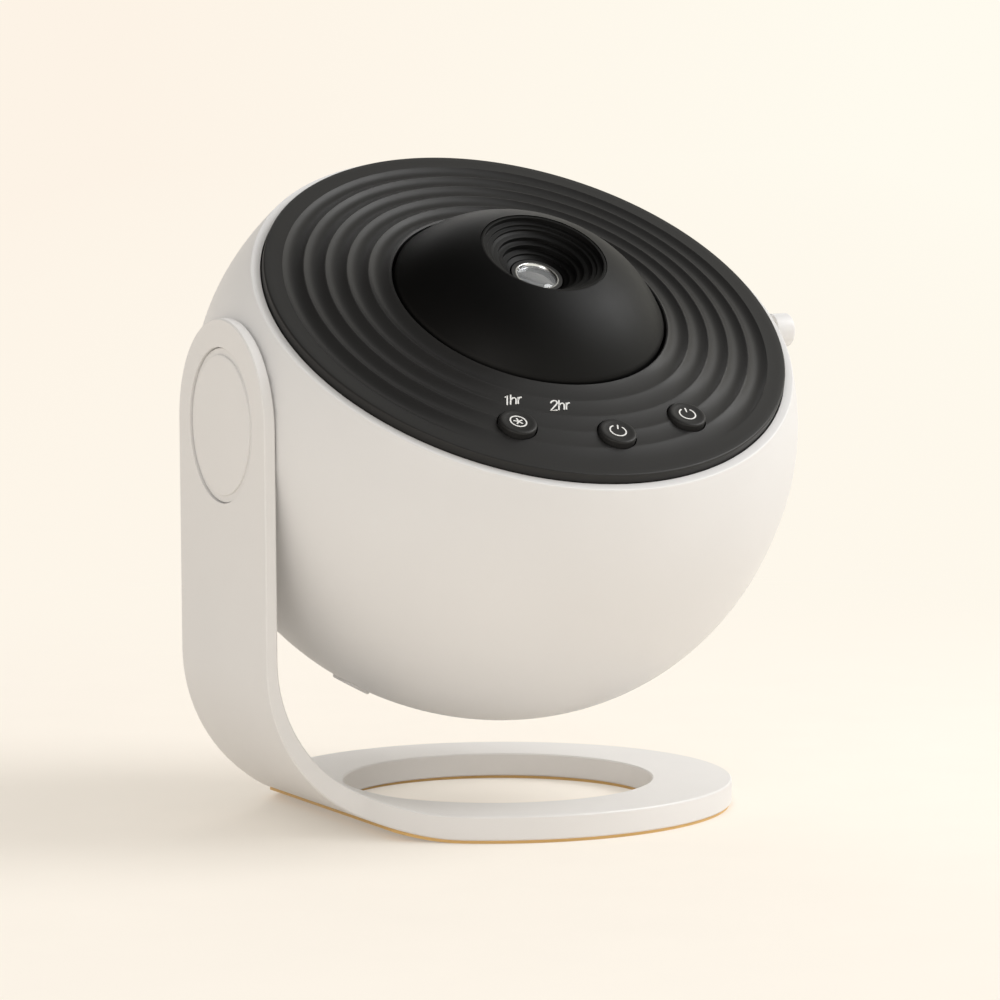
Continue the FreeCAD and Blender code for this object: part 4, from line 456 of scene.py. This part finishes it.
def grained(name, shade, rough, spread, grain, bump, mottle):
    """Moulded or coated surface: fine grain in the bump, slow mottling in colour and gloss."""
    tree, shader = plain_material(name)
    slow = noise(tree, scale=22.0, detail=3.0)
    shades = [(0.3, scaled(shade, 1 - mottle)), (0.7, scaled(shade, 1 + mottle))]
    tree.links.new(ramp(tree, slow, shades), shader.inputs["Base Color"])
    gloss = noise(tree, scale=60.0, detail=4.0, roughness=0.6)
    tree.links.new(grey_ramp(tree, gloss, [(0.25, rough - spread), (0.75, rough + spread)]),
                   shader.inputs["Roughness"])
    relief(tree, shader, noise(tree, scale=grain, detail=3.0, roughness=0.6), bump, GRAIN_HEIGHT)
    shader.inputs["Specular IOR Level"].default_value = SPECULAR.get(name, USUAL_SPECULAR)


def machined(name, shade, rough):
    """Turned or drawn metal, with fine lines along one axis."""
    tree, shader = plain_material(name)
    shader.inputs["Metallic"].default_value = 1.0
    lines = noise(tree, scale=1.0, detail=2.0, stretch=LINE_STRETCH)
    shades = [(0.2, scaled(shade, 0.88)), (0.8, scaled(shade, 1.06))]
    tree.links.new(ramp(tree, lines, shades), shader.inputs["Base Color"])
    tree.links.new(grey_ramp(tree, lines, [(0.2, rough - 0.08), (0.8, rough + 0.1)]),
                   shader.inputs["Roughness"])
    relief(tree, shader, lines, 0.15, LINE_HEIGHT)


def coated_glass(name):
    """Coated glass of the lenses, a little milky as it reflects the room."""
    tree, shader = plain_material(name)
    for socket, value in GLASS_SOCKETS.items():
        shader.inputs[socket].default_value = value
    dust = noise(tree, scale=900.0, detail=2.0)
    tree.links.new(grey_ramp(tree, dust, [(0.3, 0.01), (0.8, 0.05)]), shader.inputs["Roughness"])
    tint = noise(tree, scale=40.0, detail=1.0)
    tree.links.new(ramp(tree, tint, GLASS_TINTS), shader.inputs["Base Color"])


def make_finishes(finish):
    """One material for each finish."""
    shades = {
        "shell_white": finish.shell, "stand_white": finish.stand, "face_black": finish.face,
        "dome_black": finish.dome, "inner_black": finish.inner, "pad_amber": finish.pad,
        "sign_ink": finish.ink, "gear_white": (0.82, 0.82, 0.78), "circuit": (0.03, 0.16, 0.07),
        "barrel_black": (0.03, 0.03, 0.03),
    }
    for name, shade in shades.items():
        grained(name, shade, *GRAINS[name])
    for name, (shade, rough) in METALS.items():
        machined(name, shade, rough)
    coated_glass("lens_glass")


# ---------------------------------------------------------------- shapes of the head

def bowl_radius(sizes, height):
    """The bowl's outer radius at a height along the optical axis."""
    if height <= 0:
        deep = min(1.0, -height / sizes.depth)
        return sizes.widest * (1 - deep ** sizes.fullness) ** (1 / sizes.fullness)
    return sizes.widest - (sizes.widest - sizes.lip_radius) * (height / sizes.lip_height) ** 2


def bowl_profile(sizes):
    """The bowl's outline from the bottom over the lip and down the inside."""
    steps_below, steps_above = 40, 14
    heights = [-sizes.depth * math.cos(math.pi / 2 * step / steps_below) for step in range(steps_below)]
    heights += [sizes.lip_height * step / steps_above for step in range(steps_above)]
    outer = [(bowl_radius(sizes, height), height) for height in heights]
    inner, lip_depth = sizes.lip_radius - sizes.lip_width, 3 * MM
    lip = rounded([(*outer[-1], 0), (sizes.lip_radius, sizes.lip_height, sizes.lip_round),
                   (inner, sizes.lip_height, sizes.lip_round / 3),
                   (inner, sizes.lip_height - lip_depth, 0)], 6)
    inside = [(radius - sizes.wall, height * (1 - sizes.wall / sizes.depth))
              for radius, height in reversed(outer[1:-2])]
    return outer[:-1] + lip + inside + [(0.0, -(sizes.depth - sizes.wall))]


def crown(sizes, radius):
    """Height of the face's crest line at a radius."""
    inside = min(1.0, max(0.0, (sizes.outer_crest - radius) / (sizes.outer_crest - sizes.hole)))
    return sizes.height + sizes.crown_rise * inside


def ripple_stations(sizes):
    """(radius, depth share) pairs across the ripples, from the outermost crest inward."""
    stations = []
    crest = sizes.outer_crest
    count = 14  # faces across a ripple
    while crest - sizes.pitch > sizes.hole:
        stations.append((crest + sizes.crest_width / 2, 0.0))
        start, span = crest - sizes.crest_width / 2, sizes.pitch - sizes.crest_width
        for step in range(count):
            along = step / count
            stations.append((start - span * along, 4 * along * (1 - along)))
        crest -= sizes.pitch
    stations.append((crest + sizes.crest_width / 2, 0.0))
    return stations


def fade(sizes, turn):
    """How much of the ripples is left at a turn about the optical axis."""
    away = abs((turn + math.pi / 2 + math.pi) % TURN - math.pi)
    along = min(1.0, max(0.0, (away - sizes.fade_to) / (sizes.fade_from - sizes.fade_to)))
    return sizes.remnant + (1 - sizes.remnant) * along * along * (3 - 2 * along)


def plate_object(sizes):
    """The rippled face as one closed skin with a flange under each of its edges."""
    flange = 2 * MM
    foot = sizes.height - sizes.skirt
    under = foot + MM
    edge = rounded([(sizes.radius - 2 * sizes.edge_round - MM, sizes.height, 0),
                    (sizes.radius, sizes.height, sizes.edge_round),
                    (sizes.radius, foot, 0)], 5)
    inner_edge = crown(sizes, sizes.hole)
    rings = [(sizes.radius - flange, under, 0.0), (sizes.radius - flange, foot, 0.0)]
    rings += [(across, up, 0.0) for across, up in reversed(edge)]
    rings += [(radius, crown(sizes, radius), depth) for radius, depth in ripple_stations(sizes)]
    rings += [(sizes.hole + 0.3 * MM, inner_edge, 0.0), (sizes.hole, inner_edge - 0.2 * MM, 0.0),
              (sizes.hole, foot + flange, 0.0), (sizes.hole - flange, under, 0.0)]
    mesh = bmesh.new()
    turns = [TURN * step / sizes.steps for step in range(sizes.steps)]
    loops = [[mesh.verts.new(HEAD @ Vector((across * math.cos(turn), across * math.sin(turn),
                                            up - depth * sizes.ripple_depth * fade(sizes, turn))))
              for turn in turns] for across, up, depth in rings]
    for outer, inner in zip(loops, loops[1:] + loops[:1]):
        for step in range(sizes.steps):
            after = (step + 1) % sizes.steps
            mesh.faces.new((outer[step], outer[after], inner[after], inner[step]))
    return object_from(mesh, "face_plate_skin")


def button_place(settings, turn):
    """The frame of a button's top: on the crown, with Z along the optical axis."""
    sizes, plate = settings.button, settings.plate
    across = sizes.circle * math.cos(math.radians(turn))
    up = sizes.circle * math.sin(math.radians(turn))
    return HEAD @ Matrix.Translation((across, up, crown(plate, sizes.circle) + sizes.proud))


# ---------------------------------------------------------------- printed signs

def ribbon(mesh, points, sizes, place, closed=False, lift=1.0):
    """A flat printed line of even width through points in the plane, with square ends."""
    count = len(points)
    sides = []
    for index, point in enumerate(points):
        here = Vector(point)
        before = Vector(points[index - 1]) if closed or index else here
        after = Vector(points[(index + 1) % count]) if closed or index < count - 1 else here
        way = (after - before).normalized()
        side = Vector((-way.y, way.x)) * sizes.stroke / 2
        sides.append((here + side, here - side))
    low, high = -sizes.ink, sizes.ink * lift
    corners = [[mesh.verts.new(place @ Vector((*spot, up))) for spot, up in
                ((left, low), (left, high), (right, high), (right, low))] for left, right in sides]
    pairs = list(zip(corners, corners[1:] + corners[:1]))
    for first, second in pairs if closed else pairs[:-1]:
        for index in range(4):
            after = (index + 1) % 4
            mesh.faces.new((first[index], second[index], second[after], first[after]))
    if not closed:
        mesh.faces.new(corners[0])
        mesh.faces.new(list(reversed(corners[-1])))


def ring_points(radius, start, finish, steps=48):
    """Points on a circle between two turns in degrees."""
    span = [start + (finish - start) * step / steps for step in range(steps + 1)]
    points = [(radius * math.cos(math.radians(turn)), radius * math.sin(math.radians(turn)))
              for turn in span]
    return points[:-1] if abs(finish - start) >= 360 else points


def star_sign(mesh, sizes, place):
    """A ring with a small five-armed star, each arm a hair higher than the one before."""
    arms, reach, hair = 5, 0.62 * sizes.sign_ring, 0.02
    ribbon(mesh, ring_points(sizes.sign_ring, 0, 360), sizes, place, closed=True)
    for arm in range(arms):
        turn = math.radians(90 + 360 / arms * arm)
        tip = (reach * math.cos(turn), reach * math.sin(turn))
        ribbon(mesh, [(0.0, 0.0), tip], sizes, place, lift=1 + hair * arm)


def power_sign(mesh, sizes, place):
    """The general sign for on and off: an open ring with a bar in its gap."""
    gap = 32
    bar_foot, bar_top = 0.35 * sizes.sign_ring, 1.15 * sizes.sign_ring
    ribbon(mesh, ring_points(sizes.sign_ring, 90 + gap, 450 - gap), sizes, place)
    ribbon(mesh, [(0.0, bar_foot), (0.0, bar_top)], sizes, place)


# The printed figures: width, and strokes, as shares of their height
FIGURES = {
    "1": (0.44, [[(0.04, 0.78), (0.22, 1.0), (0.22, 0.0)]]),
    "2": (0.66, [[(0.04, 0.76), (0.08, 0.88), (0.18, 0.97), (0.32, 1.0), (0.46, 0.96), (0.55, 0.85),
                  (0.56, 0.72), (0.5, 0.58), (0.04, 0.0), (0.6, 0.0)]]),
    "h": (0.62, [[(0.06, 1.0), (0.06, 0.0)],
                 [(0.06, 0.42), (0.12, 0.56), (0.24, 0.66), (0.38, 0.66), (0.48, 0.56), (0.5, 0.42),
                  (0.5, 0.0)]]),
    "r": (0.42, [[(0.06, 0.68), (0.06, 0.0)],
                 [(0.06, 0.38), (0.11, 0.54), (0.2, 0.65), (0.34, 0.66)]]),
}


def legend(mesh, text, sizes, place):
    """A printed legend centred on its place."""
    height = sizes.legend_height
    total = sum(FIGURES[letter][0] for letter in text)
    start = -total / 2
    for letter in text:
        advance, strokes = FIGURES[letter]
        for stroke in strokes:
            points = [((start + across + sizes.legend_slant * (up - 0.5)) * height, (up - 0.5) * height)
                      for across, up in stroke]
            ribbon(mesh, points, sizes, place)
        start += advance


# ---------------------------------------------------------------- operators

class PROJECTOR_OT_finishes(Operator):
    """Make the materials of every finish"""

    bl_idname = "projector.finishes"
    bl_label = "Finishes"

    def execute(self, context):
        make_finishes(context.scene.projector.finish)
        return {"FINISHED"}


class PROJECTOR_OT_head_shell(Operator):
    """Make the white bowl with its rounded lip, its flat by the arm and its holes"""

    bl_idname = "projector.head_shell"
    bl_label = "Head shell"

    def execute(self, context):
        sizes = context.scene.projector.shell
        block_size = 0.4
        hub_far, hub_near = -0.09, -0.05
        mesh = bmesh.new()
        lathe_mesh(mesh, bowl_profile(sizes), sizes.steps, Matrix.Identity(4))
        bmesh.ops.recalc_face_normals(mesh, faces=mesh.faces)
        shell = object_from(mesh, "head_shell_skin")
        block = bmesh.new()
        beside = Matrix.Translation((-sizes.flat_x - block_size / 2, 0, 0))
        bmesh.ops.create_cube(block, size=block_size, matrix=beside)
        tools = [object_from(block, "arm_side_tool"),
                 rod("hub_tool", sizes.hub_hole, hub_far, hub_near, ALONG_X),
                 rod("inlet_tool", sizes.inlet_hole, -CUT, CUT, inlet_place(sizes))]
        shell = cut_with(shell, tools)
        shell.data.transform(HEAD)
        settle(shell, "head", "shell_white", "shell_white", "head_shell")
        return {"FINISHED"}


def inlet_place(sizes):
    """The power inlet's place on the bowl, with Z along the bowl's normal, in the head's own frame."""
    low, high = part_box("inlet_bezel")
    centre = HEAD.inverted() @ ((low + high) / 2)
    around = Vector((centre.x, centre.y, 0))
    power = sizes.fullness - 1
    down = (-centre.z / sizes.depth) ** power / sizes.depth
    level = (around.length / sizes.widest) ** power / sizes.widest
    out = around.normalized() * level - Vector((0, 0, down))
    return Matrix.Translation(centre) @ out.to_track_quat("Z", "Y").to_matrix().to_4x4()


class PROJECTOR_OT_face_plate(Operator):
    """Make the rippled black face with the wells of its buttons"""

    bl_idname = "projector.face_plate"
    bl_label = "Face plate"

    def execute(self, context):
        settings = context.scene.projector
        plate = plate_object(settings.plate)
        tools = [rod("well_tool", settings.button.well, -CUT, CUT, button_place(settings, turn))
                 for turn in BUTTONS.values()]
        plate = cut_with(plate, tools)
        settle(plate, "head", "face_black", "face_black", "face_plate")
        return {"FINISHED"}


# Corners of the hood's steps from its rim to its throat: how far inward, and how far down
HOOD_STEPS = ((0.006, 0.13), (0.155, 0.14), (0.161, 0.207), (0.285, 0.215), (0.291, 0.28),
              (0.375, 0.325), (0.51, 0.35), (0.515, 0.465), (0.60, 0.485), (0.685, 0.495),
              (0.69, 0.655), (0.86, 0.675), (0.866, 0.735), (0.94, 0.775), (1.0, 0.80))


class PROJECTOR_OT_dome(Operator):
    """Make the dome and the stepped hood round the lens"""

    bl_idname = "projector.dome"
    bl_label = "Dome and hood"

    def execute(self, context):
        sizes = context.scene.projector.dome
        wall = 2 * MM
        foot, collar_foot = sizes.foot - sizes.skirt, sizes.top - sizes.hood_depth + wall
        curve = arc((sizes.radius, sizes.foot), (sizes.rim, sizes.top), -sizes.bulge, 20)
        profile = [(sizes.radius, foot)] + curve
        profile += [(sizes.rim, collar_foot), (sizes.rim + wall, collar_foot),
                    (sizes.rim + wall, sizes.top - wall),
                    (sizes.radius - wall, sizes.foot - wall / 4), (sizes.radius - wall, foot)]
        dome = turned("dome_skin", profile, steps=192)
        settle(dome, "head", "face_black", "dome_black", "dome_cover")

        sunk = 0.15 * MM
        top, bottom = sizes.top - sunk, sizes.top - sunk - sizes.hood_depth
        inner, rounding = sizes.hood - sizes.hood_rim, sizes.step_round
        corners = [(sizes.hood, bottom, 0), (sizes.hood, top, rounding), (inner, top, rounding)]
        for inward, down in HOOD_STEPS:
            corners.append((inner + (sizes.throat - inner) * inward,
                            top - sizes.hood_depth * down, rounding))
        corners.append((sizes.throat, bottom, 0))
        hood = turned("lens_hood_skin", rounded(corners, 3), steps=160)
        settle(hood, "head", "face_black", "dome_black", "lens_hood")
        return {"FINISHED"}


class PROJECTOR_OT_lens(Operator):
    """Make the bright lens ring and the front lens"""

    bl_idname = "projector.lens"
    bl_label = "Front lens"

    def execute(self, context):
        sizes = context.scene.projector.dome
        top, foot = sizes.nose_top, sizes.nose_top - sizes.nose_length
        ring = turned("lens_ring_trim", rounded([
            (sizes.nose, foot, 0), (sizes.nose, top, 0.3 * MM), (sizes.lens + 0.35 * MM, top, 0.2 * MM),
            (sizes.lens, top - 0.5 * MM, 0.1 * MM), (sizes.lens, foot, 0)], 4), steps=96)
        settle(ring, "barrel", "aluminium", "bright_ring")

        low, edge = top - 2.0 * MM, top - 0.7 * MM
        points = [(0.0, low), (sizes.lens, low), (sizes.lens, edge)]
        count = 10  # faces from the lens's edge to its middle
        for step in range(1, count + 1):
            across = 1 - step / count
            points.append((sizes.lens * across, edge + sizes.lens_rise * (1 - across ** 2)))
        glass = turned("front_lens_glass", points, steps=96, closed=False)
        settle(glass, "barrel", "lens_glass", "lens_glass", "front_lens")
        return {"FINISHED"}


# Where each button sits about the optical axis, in degrees
BUTTONS = {"star_button": -116.3, "light_button": -88.6, "timer_button": -64.3}
# The body that each button rides on
KEYS = {"star_button": "star_key", "light_button": "light_key", "timer_button": "timer_key"}
# Turn of the sign on each button, in degrees
SIGN_TURNS = {"star_button": 0.0, "light_button": -20.0, "timer_button": -8.0}
# Centre of each printed legend on the face, in millimetres
LEGENDS = {"1hr": (-21.3, -39.3), "2hr": (-9.8, -42.5)}
# The hollow of a button's top: shares of its radius and of its depth
HOLLOW = ((0.55, 0.8), (0.25, 1.0), (0.0, 1.0))


class PROJECTOR_OT_buttons(Operator):
    """Make the three buttons with their signs, and the printed legends on the face"""

    bl_idname = "projector.buttons"
    bl_label = "Buttons and signs"

    def execute(self, context):
        settings = context.scene.projector
        sizes = settings.button
        for name, turn in BUTTONS.items():
            place = button_place(settings, turn)
            flat = sizes.radius - sizes.edge
            outer = rounded([(0.0, -sizes.length, 0), (sizes.radius, -sizes.length, 0.2 * MM),
                             (sizes.radius, 0.0, sizes.edge), (flat - 0.1 * MM, 0.0, 0)], 7)
            top = [(flat - 0.25 * MM, -sizes.dish * 0.35)]
            top += [(across * sizes.radius, -sizes.dish * down) for across, down in HOLLOW]
            cap = turned(name + "_cap", outer + top, 96, place, closed=False)
            settle(cap, KEYS[name], "face_black", "face_black", name)
            mesh = bmesh.new()
            turn_of_sign = Matrix.Rotation(math.radians(SIGN_TURNS[name]), 4, "Z")
            draw_sign = star_sign if name == "star_button" else power_sign
            draw_sign(mesh, sizes, place @ Matrix.Translation((0, 0, -sizes.dish)) @ turn_of_sign)
            sign = object_from(mesh, name + "_sign")
            settle(sign, KEYS[name], "gear_white", "sign_ink")

        mesh = bmesh.new()
        plate = settings.plate
        slope = plate.crown_rise / (plate.outer_crest - plate.hole)
        for text, (across, up) in LEGENDS.items():
            outward = Vector((across, up, 0)).normalized()
            normal = (Vector((0, 0, 1)) + outward * slope).normalized()
            height = crown(plate, math.hypot(across, up) * MM)
            lie = Matrix.Translation((across * MM, up * MM, height))
            lean = Vector((0, 0, 1)).rotation_difference(normal).to_matrix().to_4x4()
            legend(mesh, text, sizes, HEAD @ lie @ lean)
        figures = object_from(mesh, "face_legends")
        settle(figures, "head", "gear_white", "sign_ink")
        return {"FINISHED"}


class PROJECTOR_OT_base_pad(Operator):
    """Make the soft pad under the base, set back from the hole of the ring"""

    bl_idname = "projector.base_pad"
    bl_label = "Base pad"

    def execute(self, context):
        side = context.scene.projector.side
        packed = NODES["base_pad"]
        pad = bpy.data.objects.new("base_pad_sheet", packed.data.copy())
        pad.matrix_world = packed.matrix_world.copy()
        context.scene.collection.objects.link(pad)
        middle = Matrix.Translation((side.ring_centre, 0, 0))
        pad = cut_with(pad, [rod("pad_hole_tool", side.pad_hole, -CUT / 2, CUT, middle, steps=128)])
        settle(pad, "stand", "pad_amber", "pad_amber", "base_pad")
        return {"FINISHED"}


class PROJECTOR_OT_side_pieces(Operator):
    """Make the focus knob and the pivot cap"""

    bl_idname = "projector.side_pieces"
    bl_label = "Knob and cap"

    def execute(self, context):
        sizes = context.scene.projector.side
        place = HEAD @ Matrix.Translation((0, 0, sizes.knob_height)) @ ALONG_X
        end = sizes.knob_foot + sizes.knob_length
        flat = 0.62  # flat part of the knob's end, as a share of its radius
        knob = turned("focus_knob_cap", rounded([
            (0.0, sizes.knob_foot, 0), (sizes.knob_radius, sizes.knob_foot, 0.25 * MM),
            (sizes.knob_radius, end, sizes.knob_round), (flat * sizes.knob_radius, end, 0),
            (0.0, end, 0)], 8),
            steps=96, place=place, closed=False)
        settle(knob, "knob", "shell_white", "shell_white", "focus_knob")

        pivot = Matrix.Translation(PIVOT) @ ALONG_X
        face = -sizes.cap_outer
        floor = face + sizes.groove_depth
        rim, step = sizes.cap_radius, sizes.cap_radius - sizes.groove
        cap = turned("pivot_cap_disc", rounded([
            (0.0, face + sizes.cap_depth, 0), (rim, face + sizes.cap_depth, 0), (rim, floor, 0.2 * MM),
            (step, floor, 0.2 * MM), (step, face, 0.4 * MM), (0.0, face, 0)], 5),
            steps=160, place=pivot, closed=False)
        settle(cap, "stand", "stand_white", "stand_white", "pivot_cap")
        return {"FINISHED"}


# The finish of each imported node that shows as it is
NODE_FINISHES = {
    "stand_white": ("stand_frame",),
    "pad_amber": ("base_pad",),
    "steel": ("hub_screws", "pivot_nut", "friction_washer", "stop_plate", "stop_pin", "bracket_screws",
              "chassis_screws", "focus_shaft", "motor_shaft", "pivot_bracket", "shaft_bracket",
              "disc_motor"),
    "aluminium": ("pivot_hub", "heatsink", "disc_clamp_ring", "lens_ring"),
    "brass": ("knob_bush", "motor_pinion"),
    "gear_white": ("pivot_bush", "disc_carrier", "focus_pinion", "focus_rack"),
    "circuit": ("button_board", "main_board", "led_board"),
    "inner_black": ("button_switches", "chassis_plate", "chassis_posts", "guide_tube", "lamp_house",
                    "star_disc", "inlet_socket"),
    "shell_white": ("inlet_bezel",),
    "barrel_black": ("lens_barrel",),
    "lens_glass": ("condenser_lens", "rear_lens"),
}


class PROJECTOR_OT_packed_nodes(Operator):
    """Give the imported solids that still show, and those inside, their finishes"""

    bl_idname = "projector.packed_nodes"
    bl_label = "Packed solids"

    def execute(self, context):
        for finish, names in NODE_FINISHES.items():
            for name in names:
                data = NODES[name].data
                data.materials.clear()
                data.materials.append(MATERIALS[finish])
        return {"FINISHED"}


# ---------------------------------------------------------------- stage

CAMERA_PLACE = Vector((-0.53057, -1.04915, 0.19619))
CAMERA_WAY = Vector((0.44987566, 0.88755381, -0.09929812))
CAMERA_UP = Vector((0.05036304, 0.08579581, 0.99503902))
CAMERA_SIDE = CAMERA_WAY.cross(CAMERA_UP).normalized()
SENSOR = 36.0
CLIP = (0.05, 20.0)

# Lamps: name, place, aim, width, power in watts, colour
LAMPS = (
    ("key_lamp", (0.95, -0.40, 0.95), (0.0, 0.0, 0.08), 0.9, 10.6, (0.985, 0.99, 1.0)),
    ("fill_lamp", (-0.9, -1.0, 0.22), (0.0, 0.0, 0.06), 0.8, 3.0, (1.0, 0.975, 0.94)),
    ("back_lamp", (0.35, 1.0, 0.8), (0.0, 0.0, 0.1), 0.7, 1.5, (1.0, 0.995, 0.985)),
)
EVEN_COLOUR = (1.0, 0.97, 0.93, 1.0)
EVEN_LEVEL = 0.68
# The backdrop in reflections: (X of the ray, level), and (Z of the ray, share of those levels)
WINDOW = ((0.0, 0.02), (0.22, 0.10), (0.45, 0.42), (0.85, 1.0))
OVERHEAD = ((0.18, 0.0), (0.45, 1.0))
SKY_REACH = 0.083     # sideways part of the rays at the backdrop's two colours
FLOOR_REACH = 6.0
FLOOR_BLEND = 0.6     # how far out to each side the floor has the backdrop's two colours
GLOW_RING = (0.1, 0.5)  # distances between which the floor turns into the backdrop
GLOW_NEAR = 0.3       # how much of the backdrop shows in the floor near the object


def fed(tree, kind, *sources):
    """A new node with its first inputs linked."""
    node = tree.nodes.new(kind)
    for socket, source in zip(node.inputs, sources):
        tree.links.new(source, socket)
    return node


def combined(tree, operation, first, second):
    """Two values combined by a math operation."""
    node = fed(tree, "ShaderNodeMath", first, second)
    node.operation = operation
    return node.outputs[0]


def seen_directly(tree):
    """1 for rays from the camera, from gloss and through glass, 0 for those that light the object."""
    path = tree.nodes.new("ShaderNodeLightPath")
    total = path.outputs["Is Camera Ray"]
    for name in ("Is Glossy Ray", "Is Transmission Ray"):
        total = combined(tree, "MAXIMUM", total, path.outputs[name])
    return total


def sideways(tree, source, stage, reach):
    """The backdrop's colour, from left to right across the view's sideways direction."""
    along = fed(tree, "ShaderNodeVectorMath", source)
    along.operation = "DOT_PRODUCT"
    along.inputs[1].default_value = CAMERA_SIDE
    span = fed(tree, "ShaderNodeMapRange", along.outputs["Value"])
    span.inputs["From Min"].default_value = -reach
    span.inputs["From Max"].default_value = reach
    return ramp(tree, span.outputs["Result"], [(0.0, stage.sky_left), (1.0, stage.sky_right)])


def put_out(tree, kind, share_of_second, first, second):
    """Mixes two shaders and makes them the output of a material or a world."""
    mix = fed(tree, "ShaderNodeMixShader", share_of_second, first.outputs[0], second.outputs[0])
    fed(tree, kind, mix.outputs[0])


def floor_material(stage):
    """A pale matt floor that keeps the shadow near the object and meets the backdrop further out."""
    material = bpy.data.materials.new("studio_floor")
    material.use_nodes = True
    tree = material.node_tree
    tree.nodes.clear()
    paper = noise(tree, scale=35.0, detail=3.0)
    shades = [(0.3, scaled(stage.floor, 0.992)), (0.7, scaled(stage.floor, 1.008))]
    matt = fed(tree, "ShaderNodeBsdfDiffuse", ramp(tree, paper, shades))
    spot = tree.nodes.new("ShaderNodeTexCoord").outputs["Object"]
    glow = fed(tree, "ShaderNodeEmission", sideways(tree, spot, stage, FLOOR_BLEND))
    away = fed(tree, "ShaderNodeVectorMath", spot)
    away.operation = "LENGTH"
    far = fed(tree, "ShaderNodeMapRange", away.outputs["Value"])
    far.interpolation_type = "SMOOTHSTEP"
    far.inputs["From Min"].default_value, far.inputs["From Max"].default_value = GLOW_RING
    far.inputs["To Min"].default_value = GLOW_NEAR
    glow_share = combined(tree, "MULTIPLY", far.outputs["Result"], seen_directly(tree))
    put_out(tree, "ShaderNodeOutputMaterial", glow_share, matt, glow)
    return material


def light_world(stage):
    """Even light from all round; seen directly, a pale backdrop that is darker overhead on the left."""
    world = bpy.data.worlds.new("studio")
    world.use_nodes = True
    tree = world.node_tree
    tree.nodes.clear()
    even = tree.nodes.new("ShaderNodeBackground")
    even.inputs["Color"].default_value = EVEN_COLOUR
    even.inputs["Strength"].default_value = EVEN_LEVEL * stage.light
    way = tree.nodes.new("ShaderNodeTexCoord").outputs["Generated"]
    part = fed(tree, "ShaderNodeSeparateXYZ", way)
    level = tree.nodes.new("ShaderNodeMix")
    level.inputs["A"].default_value = 1.0
    tree.links.new(grey_ramp(tree, part.outputs["Z"], OVERHEAD), level.inputs["Factor"])
    tree.links.new(grey_ramp(tree, part.outputs["X"], WINDOW), level.inputs["B"])
    backdrop = fed(tree, "ShaderNodeBackground", sideways(tree, way, stage, SKY_REACH),
                   level.outputs["Result"])
    put_out(tree, "ShaderNodeOutputWorld", seen_directly(tree), even, backdrop)
    bpy.context.scene.world = world


class PROJECTOR_OT_stage(Operator):
    """Set the floor, the backdrop, the lamps and the camera"""

    bl_idname = "projector.stage"
    bl_label = "Stage"

    def execute(self, context):
        stage = context.scene.projector.stage
        mesh = bmesh.new()
        bmesh.ops.create_grid(mesh, x_segments=8, y_segments=8, size=FLOOR_REACH)
        floor = object_from(mesh, "floor")
        floor.data.materials.append(floor_material(stage))
        light_world(stage)
        for name, spot, aim, width, power, shade in LAMPS:
            data = bpy.data.lights.new(name, "AREA")
            data.shape = "DISK"
            data.size = width
            data.energy = power * stage.light
            data.color = shade
            lamp = bpy.data.objects.new(name, data)
            turn = (Vector(aim) - Vector(spot)).to_track_quat("-Z", "Y").to_matrix().to_4x4()
            lamp.matrix_world = Matrix.Translation(spot) @ turn
            context.scene.collection.objects.link(lamp)
        data = bpy.data.cameras.new("camera")
        data.lens = stage.lens
        data.sensor_width = SENSOR
        data.clip_start, data.clip_end = CLIP
        camera = bpy.data.objects.new("camera", data)
        up = CAMERA_SIDE.cross(CAMERA_WAY).normalized()
        turn = Matrix((CAMERA_SIDE, up, -CAMERA_WAY.normalized())).transposed().to_4x4()
        camera.matrix_world = Matrix.Translation(CAMERA_PLACE) @ turn
        context.scene.collection.objects.link(camera)
        context.scene.camera = camera
        context.scene.view_settings.view_transform = "Standard"
        return {"FINISHED"}


class VIEW3D_PT_projector(Panel):
    """The projector's steps in the sidebar"""

    bl_label = "Projector"
    bl_idname = "VIEW3D_PT_projector"
    bl_space_type = "VIEW_3D"
    bl_region_type = "UI"
    bl_category = "Projector"

    def draw(self, context):
        for step in STEPS:
            self.layout.operator(step.bl_idname)


STEPS = (
    PROJECTOR_OT_finishes,
    PROJECTOR_OT_packed_nodes,
    PROJECTOR_OT_head_shell,
    PROJECTOR_OT_face_plate,
    PROJECTOR_OT_dome,
    PROJECTOR_OT_lens,
    PROJECTOR_OT_buttons,
    PROJECTOR_OT_side_pieces,
    PROJECTOR_OT_base_pad,
    PROJECTOR_OT_stage,
)
GROUPS = (ShellSizes, PlateSizes, DomeSizes, ButtonSizes, SidePieceSizes, Finishes, StageSettings,
          ProjectorSettings)


def register():
    for item in GROUPS + STEPS + (VIEW3D_PT_projector,):
        bpy.utils.register_class(item)
    bpy.types.Scene.projector = PointerProperty(type=ProjectorSettings)


def unregister():
    del bpy.types.Scene.projector
    for item in reversed(GROUPS + STEPS + (VIEW3D_PT_projector,)):
        bpy.utils.unregister_class(item)


def main():
    """Runs every step in order."""
    register()
    for step in STEPS:
        group, name = step.bl_idname.split(".")
        getattr(getattr(bpy.ops, group), name)()


if __name__ == "__main__":
    main()
